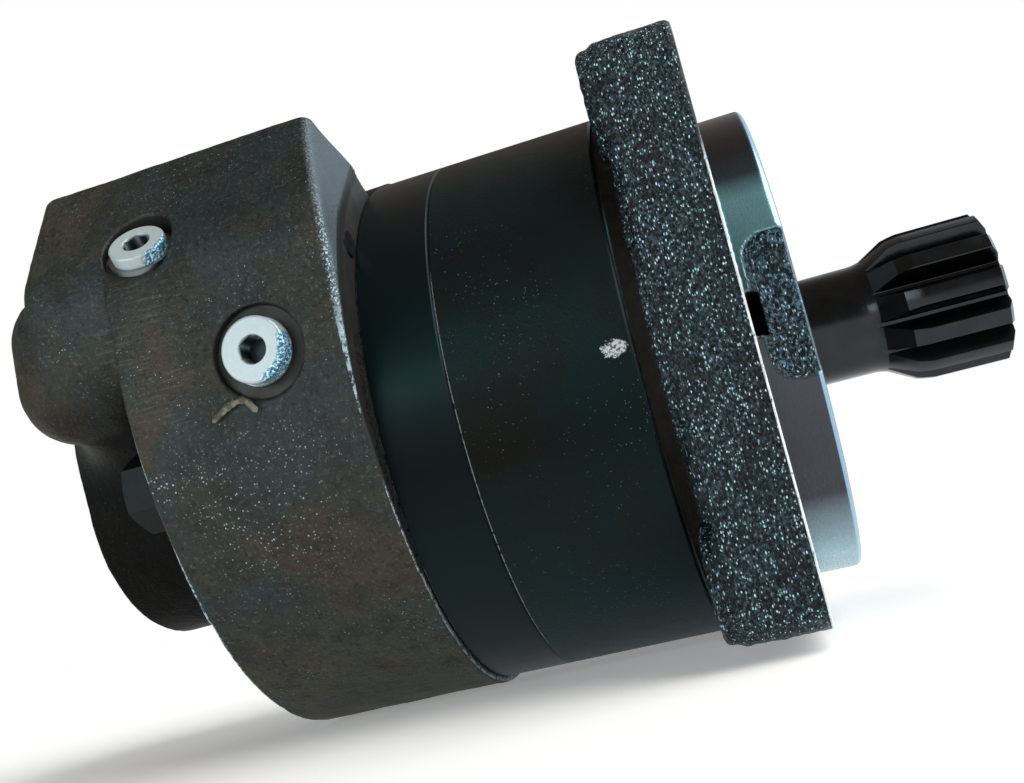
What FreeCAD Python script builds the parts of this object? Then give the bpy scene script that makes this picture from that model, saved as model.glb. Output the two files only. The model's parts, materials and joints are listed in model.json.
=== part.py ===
"""Disc-valve geroler hydraulic motor with a square four-bolt flange and a splined shaft.

Frame, in millimetres: +X runs along the shaft axis, out of the motor at the shaft end. The
origin is on that axis at the flange's mounting face. +Z is up. The flat side of the valve
housing that carries the check plug faces -Y.
"""
import FreeCAD, Part
import math
import os
from FreeCAD import Placement, Rotation, Vector

# ---- driving dimensions: outside -------------------------------------------------------
PILOT_R = 62.5            # centring spigot, 125 mm diameter
PILOT_LENGTH = 12.0
PILOT_ROUND = 1.6
POCKET_HALF_Z = 16.0      # cast pocket in the near side of the pilot
POCKET_FLOOR_Y = -58.6
POCKET_BACK_X = 3.4
POCKET_CORNER_R = 5.0
FLANGE_HALF = 70.0        # half of the square flange's side
FLANGE_BACK = -20.5
FLANGE_CORNER_R = 9.0
MOUNT_CIRCLE_R = 80.0     # four mounting holes on a 160 mm circle
MOUNT_HOLE_R = 7.0
BOSS_R = 14.0             # pads round the mounting holes on the flange's back
BOSS_HEIGHT = 2.5
NECK_R = 70.6
RING_R = 71.5             # bearing housing and geroler ring
RING_CHAMFER = 0.5
X_NECK_BACK = -25.4
X_BEARING_BACK = -67.3
X_GEROLER_BACK = -86.0
X_VALVE_BACK = -141.0
VALVE_R = 73.0            # round part of the valve housing
PAD_Y = -81.0             # flat side pad of the valve housing
PAD_LOW_Z = -8.0
BOSS_REAR_R = 39.3        # coaxial boss on the rear of the valve housing
X_BOSS_END = -184.5
BOSS_REAR_ROUND = 4.0

# The port lobe is a block that stands out of the round housing, turned about X.
LOBE_TILT = 30.0
LOBE_REACH = 93.5         # axis to the lobe's end face
LOBE_TOP = 32.5           # axis to the lobe's port face
LOBE_INNER = 50.0         # where the port face meets the round housing
X_LOBE_FRONT = -84.5
X_LOBE_BACK = -164.5
JOINT_RECESS_R = 78.0     # faced recess round the joint with the geroler ring
BELLY_BACK = -172.0
BELLY_Y = -79.4
BELLY_BOTTOM_Z = 9.0
BELLY_TOP_Z = 44.0
BELLY_INNER_Y = -28.0
BELLY_ROUND = 11.0

PORT_X = (-105.5, -145.0)
PORT_U = 71.5
PORT_THREAD_R = 12.1
PORT_THREAD_DEPTH = 18.0
PORT_SPOT_R = 19.0
PORT_SPOT_DEPTH = 0.6
PASSAGE_R = 6.0
PASSAGE_PLUG_R = 3.2

# ---- tie bolts -------------------------------------------------------------------------
BOLT_CIRCLE_R = 61.0
BOLT_PHASES = (-4.0, 86.0, 176.0, 266.0)   # degrees up from -Y
BOLT_R = 6.0
BOLT_HOLE_R = 6.5
BOLT_FLATS = 18.0
BOLT_HEAD = 9.0
BOLT_WASHER_R = 12.0
BOLT_WASHER = 2.5
X_BOLT_END = -4.0

# ---- shaft and bearings ----------------------------------------------------------------
SPLINE_COUNT = 12
SPLINE_TIP_R = 19.7
SPLINE_ROOT_R = 15.0
SPLINE_ROOT_WIDTH = 6.8   # across a tooth at its root and at its tip
SPLINE_TIP_WIDTH = 4.4
SPLINE_ROOT_ROUND = 0.4
SPLINE_TIP_ROUND = 0.4
SPLINE_END_CHAMFER = 1.3
SPLINE_PHASE = -3.0
SHAFT_END = 63.0
SPLINE_START = 47.5        # full height of the teeth from here on
FLARE_TOP = (38.8, 18.9)   # (x, r) at both ends of the flare's cone
FLARE_FOOT = (32.3, 15.2)
NECK_END = 28.5
SHAFT_NECK_R = 14.6
FRONT_JOURNAL_R = 22.5
SHAFT_MIDDLE_R = 33.0
REAR_JOURNAL_R = 30.0
X_FRONT_CUP = -4.5
FRONT_BEARING = dict(bore=22.5, outer=37.5, width=20.0, cup=15.5, mean=30.1, roller=3.9,
                     length=12.6, count=20)
REAR_BEARING = dict(bore=30.0, outer=47.5, width=22.3, cup=18.0, mean=38.9, roller=4.3,
                    length=14.6, count=22)
X_REAR_CUP = -63.3
SHAFT_BACK = -62.6
CUP_BORE_R = 19.4
CUP_BORE_END = -26.5
BEARING_BORE_R = 40.0
X_REAR_SHOULDER = -41.0
WEAR_PLATE_R = 49.0
WEAR_PLATE_BORE_R = 22.0

# ---- seals -----------------------------------------------------------------------------
SEAL_BORE_R = 26.0
SEAL_BORE_FRONT = 4.5
WIPER_BORE_R = 23.5
WIPER_BORE_BACK = 7.0
SHAFT_CLEAR_R = 17.0
FACE_SEAL_R = 51.7
FACE_SEAL_SECTION = 1.04
GROOVE_HALF = 1.5
GROOVE_DEPTH = 2.1

# ---- geroler ---------------------------------------------------------------------------
ROLLER_CIRCLE_R = 38.5
ROLLER_R = 8.0
POCKET_GAP = 0.05
ECCENTRICITY = 3.6
LOBES = 6
ROLLERS = LOBES + 1
GEROLER_BORE_R = 38.0
SIDE_GAP = 0.05
GEROLER_PHASE = 90.0      # degrees from +Y towards +Z, direction of the first roller

# ---- drive splines: cardan shaft, star, valve drive, disc valve ------------------------
DRIVE_COUNT = 10
DRIVE_MAJOR_R = 19.0
DRIVE_MINOR_R = 15.5
DRIVE_GAP_WIDTHS = (5.6, 6.9)     # across a groove of the internal splines, inside and outside
DRIVE_TOOTH_WIDTH = 4.4
DRIVE_HEAD_TIP_R = 18.0
DRIVE_HEAD_CORE_R = 14.2
DRIVE_SHANK_R = 10.0
X_CARDAN_FRONT = -33.0
X_CARDAN_BACK = -71.8
X_VALVE_DRIVE_FRONT = -82.4
X_VALVE_DRIVE_BACK = -105.0
SPACER = (-76.8, -78.1, 11.5)

# ---- valve chamber ---------------------------------------------------------------------
X_CHANNEL_BACK = -97.0
CHANNEL_BORE_R = 22.5
CHANNEL_PORT_R = 3.0
CHANNEL_PORT_CIRCLE_R = 33.0
CHAMBER_R = 42.0
X_DISC_BACK = -111.0
DISC_R = 36.0
X_BALANCE_STEP = -118.0
X_BALANCE_BACK = -138.0
BALANCE_R = 38.0
BALANCE_HUB_R = 28.0
BALANCE_BORE_R = 14.0
X_CHAMBER_STEP = -119.0
X_SPRING_BACK = -162.0
DRAIN_BORE_R = 16.0
X_DRAIN_END = -174.0
DOWEL_R = 2.5
DOWEL_CIRCLE_R = 45.4

# ---- hex socket plugs and check valves -------------------------------------------------
PLUG_HEADS = {"side": (7.7, 3.9), "lobe": (6.8, 3.0), "drain": (7.7, 3.9)}   # radius, height
PLUG_HEAD_ROUND = 0.6
PLUG_WASHER_R = 7.9
PLUG_WASHER = 1.2
PLUG_THREAD_R = 5.9
PLUG_THREAD = 9.0
PLUG_SOCKET = 6.0
PLUG_SOCKET_DEPTH = 5.0
SPOT_R = 10.9
SPOT_DEPTH = 2.2
CHECK_BORE_R = 4.6
CHECK_BORE_END = 27.0
CHECK_SEAT_R = 3.0
CHECK_SEAT_END = 48.0
CHECK_BALL_R = 4.3
SPRING_MEAN_R = 3.2
SPRING_WIRE_R = 0.45
SPRING_TURNS = 5
BALANCE_WIRE_R = 1.8
BALANCE_TURNS = 4

AXIS = Vector(1, 0, 0)
LOBE_U = Vector(0, -math.cos(math.radians(LOBE_TILT)), math.sin(math.radians(LOBE_TILT)))
LOBE_N = Vector(0, math.sin(math.radians(LOBE_TILT)), math.cos(math.radians(LOBE_TILT)))
LOBE_PLUG_OUT = Vector(0.12, -0.76, 0.64).normalize()


# ---- helpers ---------------------------------------------------------------------------
def rod(radius, x0, x1, y=0.0, z=0.0):
    """Cylinder along X between two stations."""
    return Part.makeCylinder(radius, abs(x1 - x0), Vector(min(x0, x1), y, z), AXIS)


def tube(outer, inner, x0, x1):
    return rod(outer, x0, x1).cut(rod(inner, x0, x1))


def edges_through(points):
    """Edges of a closed outline. A point given as (middle, end) is reached by an arc."""
    ends = [p[1] if isinstance(p, tuple) else p for p in points]
    edges = []
    for i, item in enumerate(points):
        start = ends[i - 1]
        if isinstance(item, tuple):
            edges.append(Part.Arc(start, item[0], item[1]).toShape())
        else:
            edges.append(Part.LineSegment(start, item).toShape())
    return edges


def chamfered_rod(radius, chamfer, x0, x1):
    """Cylinder along X with both its rims chamfered."""
    return turned([(x0, 0), (x0, radius - chamfer), (x0 + chamfer, radius),
                   (x1 - chamfer, radius), (x1, radius - chamfer), (x1, 0)])


def turned(profile):
    """Solid of revolution about X from (x, radius) points; ((x, r), (x, r)) is an arc."""
    def place(p):
        return Vector(p[0], 0, p[1])
    points = [(place(p[0]), place(p[1])) if isinstance(p[0], tuple) else place(p)
              for p in profile]
    face = Part.Face(Part.Wire(edges_through(points)))
    return face.revolve(Vector(0, 0, 0), AXIS, 360)


def prism(points, x0, x1):
    """Polygon in the YZ plane, pushed along X from x0 to x1."""
    corners = [Vector(x0, y, z) for y, z in points]
    return Part.Face(Part.makePolygon(corners + corners[:1])).extrude(AXIS * (x1 - x0))


def up_from_near(radius, degrees):
    """(y, z) at an angle measured up from -Y."""
    a = math.radians(degrees)
    return -radius * math.cos(a), radius * math.sin(a)


def around(radius, degrees):
    """(y, z) at an angle measured from +Y towards +Z."""
    a = math.radians(degrees)
    return radius * math.cos(a), radius * math.sin(a)


def lobe_point(x, u, n):
    """Point in the lobe's turned frame: u out to its end face, n up to its port face."""
    return AXIS * x + LOBE_U * u + LOBE_N * n


def lobe_yz(u, n):
    p = lobe_point(0, u, n)
    return p.y, p.z


def drill(start, direction, radius, length):
    return Part.makeCylinder(radius, length, start, direction)


def drill_between(start, end, radius):
    return drill(start, end - start, radius, (end - start).Length)


def hexagon(across_flats, start, direction, height):
    """Hexagonal prism that stands on start and points along direction."""
    corner = across_flats / math.sqrt(3)
    corners = [Vector(corner * math.cos(math.radians(60 * k + 30)),
                      corner * math.sin(math.radians(60 * k + 30)), 0) for k in range(6)]
    solid = Part.Face(Part.makePolygon(corners + corners[:1])).extrude(Vector(0, 0, height))
    solid.Placement = Placement(start, Rotation(Vector(0, 0, 1), direction))
    return solid


def toothed(x0, x1, root_r, tip_r, count, root_width, tip_width, phase=0.0):
    """Rod along X with straight-flanked teeth; widths are across a tooth at each radius."""
    half_root = math.degrees(root_width / 2 / root_r)
    half_tip = math.degrees(tip_width / 2 / tip_r)
    pitch = 360.0 / count

    def at(radius, degrees):
        y, z = up_from_near(radius, degrees)
        return Vector(x0, y, z)
    points = []
    for k in range(count):
        middle = phase + k * pitch
        points.append((at(root_r, middle - pitch / 2), at(root_r, middle - half_root)))
        points.append(at(tip_r, middle - half_tip))
        points.append((at(tip_r, middle), at(tip_r, middle + half_tip)))
        points.append(at(root_r, middle + half_root))
    face = Part.Face(Part.Wire(edges_through(points)))
    return face.extrude(AXIS * (x1 - x0))


def coil(mean_r, wire_r, length, turns, start, direction):
    """Round-wire compression spring that stands on start."""
    height = length - 2 * wire_r
    helix = Part.makeHelix(height / turns, height, mean_r)
    section = Part.Wire(Part.makeCircle(wire_r, Vector(mean_r, 0, 0), Vector(0, 1, 0)))
    solid = Part.Wire(helix.Edges).makePipeShell([section], True, True)
    solid.translate(Vector(0, 0, wire_r))
    solid.Placement = Placement(start, Rotation(Vector(0, 0, 1), direction)).multiply(
        solid.Placement)
    return solid


def fuse_all(shapes):
    return shapes[0].multiFuse(shapes[1:]).removeSplitter()


def compound(shapes):
    return Part.makeCompound(shapes)


def rounded(shape, radius, wanted):
    """Round the edges that wanted() picks."""
    return shape.makeFillet(radius, [e for e in shape.Edges if wanted(e)])


def edge_middle(edge):
    return edge.valueAt((edge.FirstParameter + edge.LastParameter) / 2)


# ---- mounting flange -------------------------------------------------------------------
def square_plate(x0, x1, half):
    plate = Part.makeBox(abs(x1 - x0), 2 * half, 2 * half, Vector(min(x0, x1), -half, -half))
    return rounded(plate, FLANGE_CORNER_R,
                   lambda e: e.Curve.Direction.isEqual(AXIS, 1e-6)
                   or e.Curve.Direction.isEqual(AXIS * -1, 1e-6))


def mount_hole_places():
    return [around(MOUNT_CIRCLE_R, 45 + 90 * k) for k in range(4)]


def pilot_pocket():
    """Cast pocket, open to the front, in the near side of the pilot."""
    depth = PILOT_R + POCKET_FLOOR_Y + 2
    pocket = Part.makeBox(PILOT_LENGTH + 2, depth, 2 * POCKET_HALF_Z,
                          Vector(POCKET_BACK_X, POCKET_FLOOR_Y - depth, -POCKET_HALF_Z))
    return rounded(pocket, POCKET_CORNER_R,
                   lambda e: abs(edge_middle(e).x - POCKET_BACK_X) < 1e-6
                   and abs(abs(edge_middle(e).z) - POCKET_HALF_Z) < 1e-6)


def mounting_flange():
    plate = square_plate(FLANGE_BACK, 0.0, FLANGE_HALF)
    pads = [rod(BOSS_R, FLANGE_BACK - BOSS_HEIGHT, FLANGE_BACK, y, z)
            for y, z in mount_hole_places()]
    outline = square_plate(FLANGE_BACK - BOSS_HEIGHT, FLANGE_BACK, FLANGE_HALF)
    pads = [pad.common(outline) for pad in pads]
    pilot = rod(PILOT_R, 0.0, PILOT_LENGTH)
    pilot = rounded(pilot, PILOT_ROUND, lambda e: edge_middle(e).x > PILOT_LENGTH - 1e-6)
    body = fuse_all([plate, pilot, rod(NECK_R, X_NECK_BACK, FLANGE_BACK)] + pads)
    cuts = [
        rod(WIPER_BORE_R, WIPER_BORE_BACK, PILOT_LENGTH + 1),
        rod(SHAFT_CLEAR_R, SEAL_BORE_FRONT - 1, WIPER_BORE_BACK + 1),
        rod(SEAL_BORE_R, X_FRONT_CUP - 1, SEAL_BORE_FRONT),
        rod(FRONT_BEARING["outer"], X_NECK_BACK - 1, X_FRONT_CUP),
        face_groove(X_NECK_BACK),
        pilot_pocket(),
    ]
    cuts += [rod(MOUNT_HOLE_R, FLANGE_BACK - 5, 1, y, z) for y, z in mount_hole_places()]
    cuts += bolt_rods(BOLT_R, X_NECK_BACK - 1, X_BOLT_END)
    return body.cut(compound(cuts))


# ---- housings and plates ---------------------------------------------------------------
def bolt_rods(radius, x0, x1):
    return [rod(radius, x0, x1, *up_from_near(BOLT_CIRCLE_R, a)) for a in BOLT_PHASES]


def face_groove(x_face):
    """Ring cut for a face seal, in a face that looks towards -X."""
    return tube(FACE_SEAL_R + GROOVE_HALF, FACE_SEAL_R - GROOVE_HALF,
                x_face, x_face + GROOVE_DEPTH)


def bearing_housing():
    body = chamfered_rod(RING_R, RING_CHAMFER, X_BEARING_BACK, X_NECK_BACK)
    cuts = [
        rod(BEARING_BORE_R, X_REAR_SHOULDER - 1, X_NECK_BACK + 1),
        rod(REAR_BEARING["outer"], X_REAR_CUP - 1, X_REAR_SHOULDER),
        rod(WEAR_PLATE_R, X_BEARING_BACK - 1, X_REAR_CUP),
        face_groove(X_BEARING_BACK),
    ]
    cuts += bolt_rods(BOLT_HOLE_R, X_BEARING_BACK - 1, X_NECK_BACK + 1)
    return body.cut(compound(cuts))


def wear_plate():
    return tube(WEAR_PLATE_R, WEAR_PLATE_BORE_R, X_BEARING_BACK, X_REAR_CUP)


def roller_places():
    return [around(ROLLER_CIRCLE_R, GEROLER_PHASE + 360.0 * k / ROLLERS)
            for k in range(ROLLERS)]


def geroler_ring():
    cuts = [rod(GEROLER_BORE_R, X_GEROLER_BACK - 1, X_BEARING_BACK + 1)]
    cuts += [rod(ROLLER_R + POCKET_GAP, X_GEROLER_BACK - 1, X_BEARING_BACK + 1, y, z)
             for y, z in roller_places()]
    cuts += bolt_rods(BOLT_HOLE_R, X_GEROLER_BACK - 1, X_BEARING_BACK + 1)
    cuts.append(face_groove(X_GEROLER_BACK))
    ring = chamfered_rod(RING_R, RING_CHAMFER, X_GEROLER_BACK, X_BEARING_BACK)
    for cut in cuts:
        ring = ring.cut(cut)
    return ring


def channel_plate():
    body = tube(WEAR_PLATE_R, CHANNEL_BORE_R, X_CHANNEL_BACK, X_GEROLER_BACK)
    half_step = 180.0 / ROLLERS
    ports = [rod(CHANNEL_PORT_R, X_CHANNEL_BACK - 1, X_GEROLER_BACK + 1,
                 *around(CHANNEL_PORT_CIRCLE_R, GEROLER_PHASE + half_step * (2 * k + 1)))
             for k in range(ROLLERS)]
    return body.cut(compound(ports + dowels()))


def dowels():
    return [rod(DOWEL_R, X_CHANNEL_BACK - 5, X_CHANNEL_BACK + 5,
                *around(DOWEL_CIRCLE_R, angle)) for angle in (20.0, 200.0)]


# ---- valve housing ---------------------------------------------------------------------
def tangent_from(y, z, radius):
    """Point where the lower tangent from (y, z) touches a circle about the axis."""
    reach = math.hypot(y, z)
    angle = math.degrees(math.atan2(z, -y)) - math.degrees(math.acos(radius / reach))
    return up_from_near(radius, angle)


def ridge_n(pad_y):
    """Height n, on the lobe's end face, of the ridge where a flat at y = pad_y meets it."""
    return (pad_y - LOBE_U.y * LOBE_REACH) / LOBE_N.y


def lobe_section(pad_y, low_z, inner):
    """Outline of lobe and side pad in the YZ plane, from the port face round to the axis."""
    return [lobe_yz(inner, LOBE_TOP), lobe_yz(LOBE_REACH, LOBE_TOP),
            lobe_yz(LOBE_REACH, ridge_n(pad_y)), (pad_y, low_z)]


def valve_casting():
    """The casting's outside, before anything is machined into it."""
    front = lobe_section(PAD_Y, PAD_LOW_Z, LOBE_INNER)
    front += [tangent_from(PAD_Y, PAD_LOW_Z, VALVE_R), (0.0, -20.0), (0.0, 20.0)]
    side = prism(front, X_VALVE_BACK, X_LOBE_FRONT)
    side = side.cut(rod(JOINT_RECESS_R, X_GEROLER_BACK, X_LOBE_FRONT + 1))
    notch = prism([lobe_yz(LOBE_INNER, LOBE_TOP), lobe_yz(LOBE_REACH, LOBE_TOP),
                   lobe_yz(LOBE_REACH, LOBE_REACH), lobe_yz(LOBE_INNER, LOBE_REACH)],
                  X_VALVE_BACK - 1, X_GEROLER_BACK + 1)
    body = rod(VALVE_R, X_VALVE_BACK, X_GEROLER_BACK).cut(notch)
    block = lobe_section(BELLY_Y, BELLY_BOTTOM_Z + 12, 25.0)
    block.append((-20.0, BELLY_BOTTOM_Z + 12))
    rear = prism(block, X_LOBE_BACK, X_VALVE_BACK)
    belly = Part.makeBox(X_VALVE_BACK - BELLY_BACK, BELLY_INNER_Y - BELLY_Y,
                         BELLY_TOP_Z - BELLY_BOTTOM_Z,
                         Vector(BELLY_BACK, BELLY_Y, BELLY_BOTTOM_Z))
    belly = rounded(belly, BELLY_ROUND, lambda e: edge_middle(e).x < X_VALVE_BACK - 1
                    and edge_middle(e).y < BELLY_INNER_Y - 1)
    boss = rod(BOSS_REAR_R, X_BOSS_END, X_VALVE_BACK)
    boss = rounded(boss, BOSS_REAR_ROUND, lambda e: edge_middle(e).x < X_BOSS_END + 1e-6)
    return fuse_all([body, side, rear, belly, boss])


def plug_seats():
    """Start and inward direction of each socket plug, on the surface it sits in."""
    drain_y, drain_z = up_from_near(VALVE_R, 225.0)
    return {
        "side": (Vector(-106.0, PAD_Y, 17.2), Vector(0, 1, 0)),
        "lobe": (lobe_point(-131.6, LOBE_REACH - 0.75, 3.9), LOBE_PLUG_OUT * -1),
        "drain": (Vector(-113.0, drain_y, drain_z), Vector(0, -drain_y, -drain_z).normalize()),
    }


def plug_cuts(name):
    start, inward = plug_seats()[name]
    cuts = [drill(start - inward * 5, inward, SPOT_R, SPOT_DEPTH + 5),
            drill(start, inward, PLUG_THREAD_R, SPOT_DEPTH + PLUG_WASHER + PLUG_THREAD)]
    if name == "drain":
        cuts.append(drill(start, inward, CHECK_BORE_R, CHECK_BORE_END + 12))
    else:
        cuts.append(drill(start, inward, CHECK_BORE_R, CHECK_BORE_END))
        cuts.append(drill(start, inward, CHECK_SEAT_R, CHECK_SEAT_END))
    return cuts


def port_cuts():
    cuts = []
    chamber_ends = (lobe_point(PORT_X[0], 38.0, 4.0), lobe_point(-115.0, 38.0, 0.0))
    for x, chamber_end in zip(PORT_X, chamber_ends):
        mouth = lobe_point(x, PORT_U, LOBE_TOP)
        floor = lobe_point(x, PORT_U, LOBE_TOP - PORT_THREAD_DEPTH + 1)
        cuts.append(drill(mouth - LOBE_N * PORT_SPOT_DEPTH, LOBE_N, PORT_SPOT_R, 5))
        cuts.append(drill(mouth, LOBE_N * -1, PORT_THREAD_R,
                          PORT_THREAD_DEPTH + PORT_SPOT_DEPTH))
        cuts.append(drill_between(floor, chamber_end, PASSAGE_R))
    return cuts


def passage_plug_rod(x0, x1):
    """Steel plug that closes a drilled passage, in the recess beside the geroler ring."""
    return rod(PASSAGE_PLUG_R, x0, x1, *up_from_near(75.1, 33.0))


def valve_housing():
    cuts = [
        rod(WEAR_PLATE_R, X_CHANNEL_BACK, X_GEROLER_BACK + 1),
        rod(CHAMBER_R, X_CHAMBER_STEP, X_CHANNEL_BACK + 1),
        rod(BALANCE_HUB_R, X_SPRING_BACK, X_CHAMBER_STEP + 1),
        rod(DRAIN_BORE_R, X_DRAIN_END, X_SPRING_BACK + 1),
        passage_plug_rod(X_GEROLER_BACK - 6, X_GEROLER_BACK + 1),
    ]
    cuts += bolt_rods(BOLT_HOLE_R, X_VALVE_BACK - 1, X_GEROLER_BACK + 1)
    cuts += [rod(BOLT_WASHER_R + 1, X_VALVE_BACK - 14, X_VALVE_BACK,
                 *up_from_near(BOLT_CIRCLE_R, a)) for a in BOLT_PHASES]
    cuts += dowels() + port_cuts()
    for name in plug_seats():
        cuts += plug_cuts(name)
    body = valve_casting()
    for cut in cuts:
        body = body.cut(cut)
    return body


# ---- tie bolts -------------------------------------------------------------------------
def bolt_washers():
    x_back = X_VALVE_BACK - BOLT_WASHER
    return compound([disc.cut(hole) for disc, hole in zip(
        bolt_rods(BOLT_WASHER_R, x_back, X_VALVE_BACK),
        bolt_rods(BOLT_HOLE_R, x_back - 1, X_VALVE_BACK + 1))])


def housing_bolts():
    x_head = X_VALVE_BACK - BOLT_WASHER
    bolts = []
    for angle in BOLT_PHASES:
        y, z = up_from_near(BOLT_CIRCLE_R, angle)
        shank = rod(BOLT_R, x_head, X_BOLT_END, y, z)
        corner = BOLT_FLATS / math.sqrt(3)
        flats = [(y + corner * math.cos(math.radians(60 * k + 30)),
                  z + corner * math.sin(math.radians(60 * k + 30))) for k in range(6)]
        head = prism(flats, x_head - BOLT_HEAD, x_head)
        dome = turned([(x_head, 0), (x_head, 13), (x_head - BOLT_HEAD + 1.6, 13),
                       (x_head - BOLT_HEAD, BOLT_FLATS / 2 - 0.4), (x_head - BOLT_HEAD, 0)])
        dome.translate(Vector(0, y, z))
        bolts.append(head.common(dome).fuse(shank).removeSplitter())
    return compound(bolts)


# ---- tapered roller bearings -----------------------------------------------------------
def tapered_bearing(size, x_cup, towards):
    """Cup, cone, rollers and cage; the cup's back face is at x_cup, the cone's back is
    one bearing width further on in the direction towards (+1 or -1 along X)."""
    roller_tilt, race_gap, taper = 13.0, 0.03, 0.045
    slope = math.tan(math.radians(roller_tilt))
    sin_t, cos_t = math.sin(math.radians(roller_tilt)), math.cos(math.radians(roller_tilt))
    middle = size["width"] / 2 - 0.3
    half = size["length"] / 2
    small = size["roller"] - taper * half
    large = size["roller"] + taper * half
    a_small, a_large = middle - half * cos_t, middle + half * cos_t

    def race(a, side):
        """Radius of the cone (side -1) or cup (side +1) raceway at axial place a."""
        ends = []
        for along in (-half, half):
            reach = side * (size["roller"] + taper * along + race_gap)
            ends.append((middle + along * cos_t - reach * sin_t,
                         size["mean"] + along * sin_t + reach * cos_t))
        (a0, r0), (a1, r1) = ends
        return r0 + (a - a0) * (r1 - r0) / (a1 - a0)

    def at(a, radius):
        return (x_cup + towards * a, radius)
    cup = turned([at(0, size["outer"]), at(size["cup"], size["outer"]),
                  at(size["cup"], race(size["cup"], 1)), at(0, race(0, 1))])
    rib_a = a_large + sin_t * large + 0.4
    cone = turned([at(0.8, size["bore"]), at(size["width"], size["bore"]),
                   at(size["width"], race(rib_a, -1) + 2.2), at(rib_a, race(rib_a, -1) + 2.2),
                   at(rib_a, race(rib_a, -1)), at(0.8, race(0.8, -1))])

    def roller(grow):
        start = Vector(x_cup + towards * a_small, 0, size["mean"] - half * sin_t)
        direction = Vector(towards * cos_t, 0, sin_t)
        return Part.makeCone(small + grow, large + grow, 2 * half + grow,
                             start - direction * (grow / 2), direction)

    def spread(shape):
        placed = []
        for k in range(size["count"]):
            copy = shape.copy()
            copy.rotate(Vector(0, 0, 0), AXIS, 360.0 * k / size["count"])
            placed.append(copy)
        return placed
    low, thick, rim = 0.5, 1.0, 1.4
    cage_from, cage_to = a_small - rim, a_large + rim

    def cage_r(a, lift):
        return size["mean"] + (a - middle) * slope + lift
    cage = turned([at(cage_from, cage_r(cage_from, low)), at(cage_to, cage_r(cage_to, low)),
                   at(cage_to, cage_r(cage_to, low + thick)),
                   at(cage_from, cage_r(cage_from, low + thick))])
    cage = cage.cut(compound(spread(roller(0.3))))
    return {"cup": cup, "cone": cone, "rollers": compound(spread(roller(0.0))), "cage": cage}


# ---- shaft and drive -------------------------------------------------------------------
def spline_teeth():
    """Bar of spline teeth, long enough to run out in the flare of the shaft."""
    bar = toothed(NECK_END, SHAFT_END + 1, SPLINE_ROOT_R, SPLINE_TIP_R, SPLINE_COUNT,
                  SPLINE_ROOT_WIDTH, SPLINE_TIP_WIDTH, SPLINE_PHASE)
    middle_x = (NECK_END + SHAFT_END + 1) / 2

    def along_at(radius):
        def wanted(edge):
            p = edge_middle(edge)
            return abs(p.x - middle_x) < 1e-6 and abs(math.hypot(p.y, p.z) - radius) < 0.01
        return wanted
    bar = rounded(bar, SPLINE_ROOT_ROUND, along_at(SPLINE_ROOT_R))
    return rounded(bar, SPLINE_TIP_ROUND, along_at(SPLINE_TIP_R))


def output_shaft():
    blank_r = SPLINE_TIP_R + 0.2
    shoulder_middle = ((FLARE_TOP[0] + SPLINE_START) / 2, (FLARE_TOP[1] + blank_r) / 2 + 0.3)
    foot_middle = ((FLARE_FOOT[0] + NECK_END) / 2, (FLARE_FOOT[1] + SHAFT_NECK_R) / 2 - 0.15)
    blank = turned([
        (SHAFT_BACK, 0), (SHAFT_END, 0), (SHAFT_END, blank_r - 2 * SPLINE_END_CHAMFER),
        (SHAFT_END - SPLINE_END_CHAMFER, blank_r), (SPLINE_START, blank_r),
        (shoulder_middle, FLARE_TOP), FLARE_FOOT, (foot_middle, (NECK_END, SHAFT_NECK_R)),
        (X_FRONT_CUP, SHAFT_NECK_R), (X_FRONT_CUP - 1.5, FRONT_JOURNAL_R),
        (X_FRONT_CUP - FRONT_BEARING["width"], FRONT_JOURNAL_R),
        (X_FRONT_CUP - FRONT_BEARING["width"], SHAFT_MIDDLE_R - 5),
        (X_REAR_SHOULDER + 6, SHAFT_MIDDLE_R), (X_REAR_SHOULDER, SHAFT_MIDDLE_R),
        (X_REAR_SHOULDER, REAR_JOURNAL_R), (SHAFT_BACK, REAR_JOURNAL_R)])
    smooth = rod(SHAFT_MIDDLE_R + 1, SHAFT_BACK - 1, NECK_END)
    splined = blank.common(smooth.fuse(spline_teeth()))
    splined = splined.cut(rod(CUP_BORE_R, SHAFT_BACK - 1, X_CARDAN_FRONT - 8))
    splined = splined.cut(drive_socket(X_CARDAN_FRONT - 9, CUP_BORE_END))
    centre = Part.makeCone(2.0, 4.6, 4.6, Vector(SHAFT_END - 4.5, 0, 0), AXIS)
    return splined.cut(centre)


def drive_socket(x0, x1):
    """Space cut by an internal drive spline."""
    return toothed(x0, x1, DRIVE_MINOR_R, DRIVE_MAJOR_R, DRIVE_COUNT, *DRIVE_GAP_WIDTHS)


def drive_head(x_middle, half_length):
    """Crowned external spline that tips freely inside drive_socket."""
    head = toothed(x_middle - half_length, x_middle + half_length, DRIVE_HEAD_CORE_R,
                   DRIVE_HEAD_TIP_R + 0.5, DRIVE_COUNT, DRIVE_TOOTH_WIDTH, DRIVE_TOOTH_WIDTH)
    return head.common(Part.makeSphere(DRIVE_HEAD_TIP_R, Vector(x_middle, 0, 0)))


def eccentric_yz():
    return around(ECCENTRICITY, GEROLER_PHASE)


def tipped(shape, x_on_axis, x_eccentric):
    """Turn a shape about its centre on the axis until it points at the star's centre."""
    y, z = eccentric_yz()
    straight = Vector(x_eccentric - x_on_axis, 0, 0)
    slanted = Vector(x_eccentric - x_on_axis, y, z)
    centre = Vector(x_on_axis, 0, 0)
    turn = Placement(Vector(0, 0, 0), Rotation(straight, slanted), centre)
    shape.Placement = turn.multiply(shape.Placement)
    return shape


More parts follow.
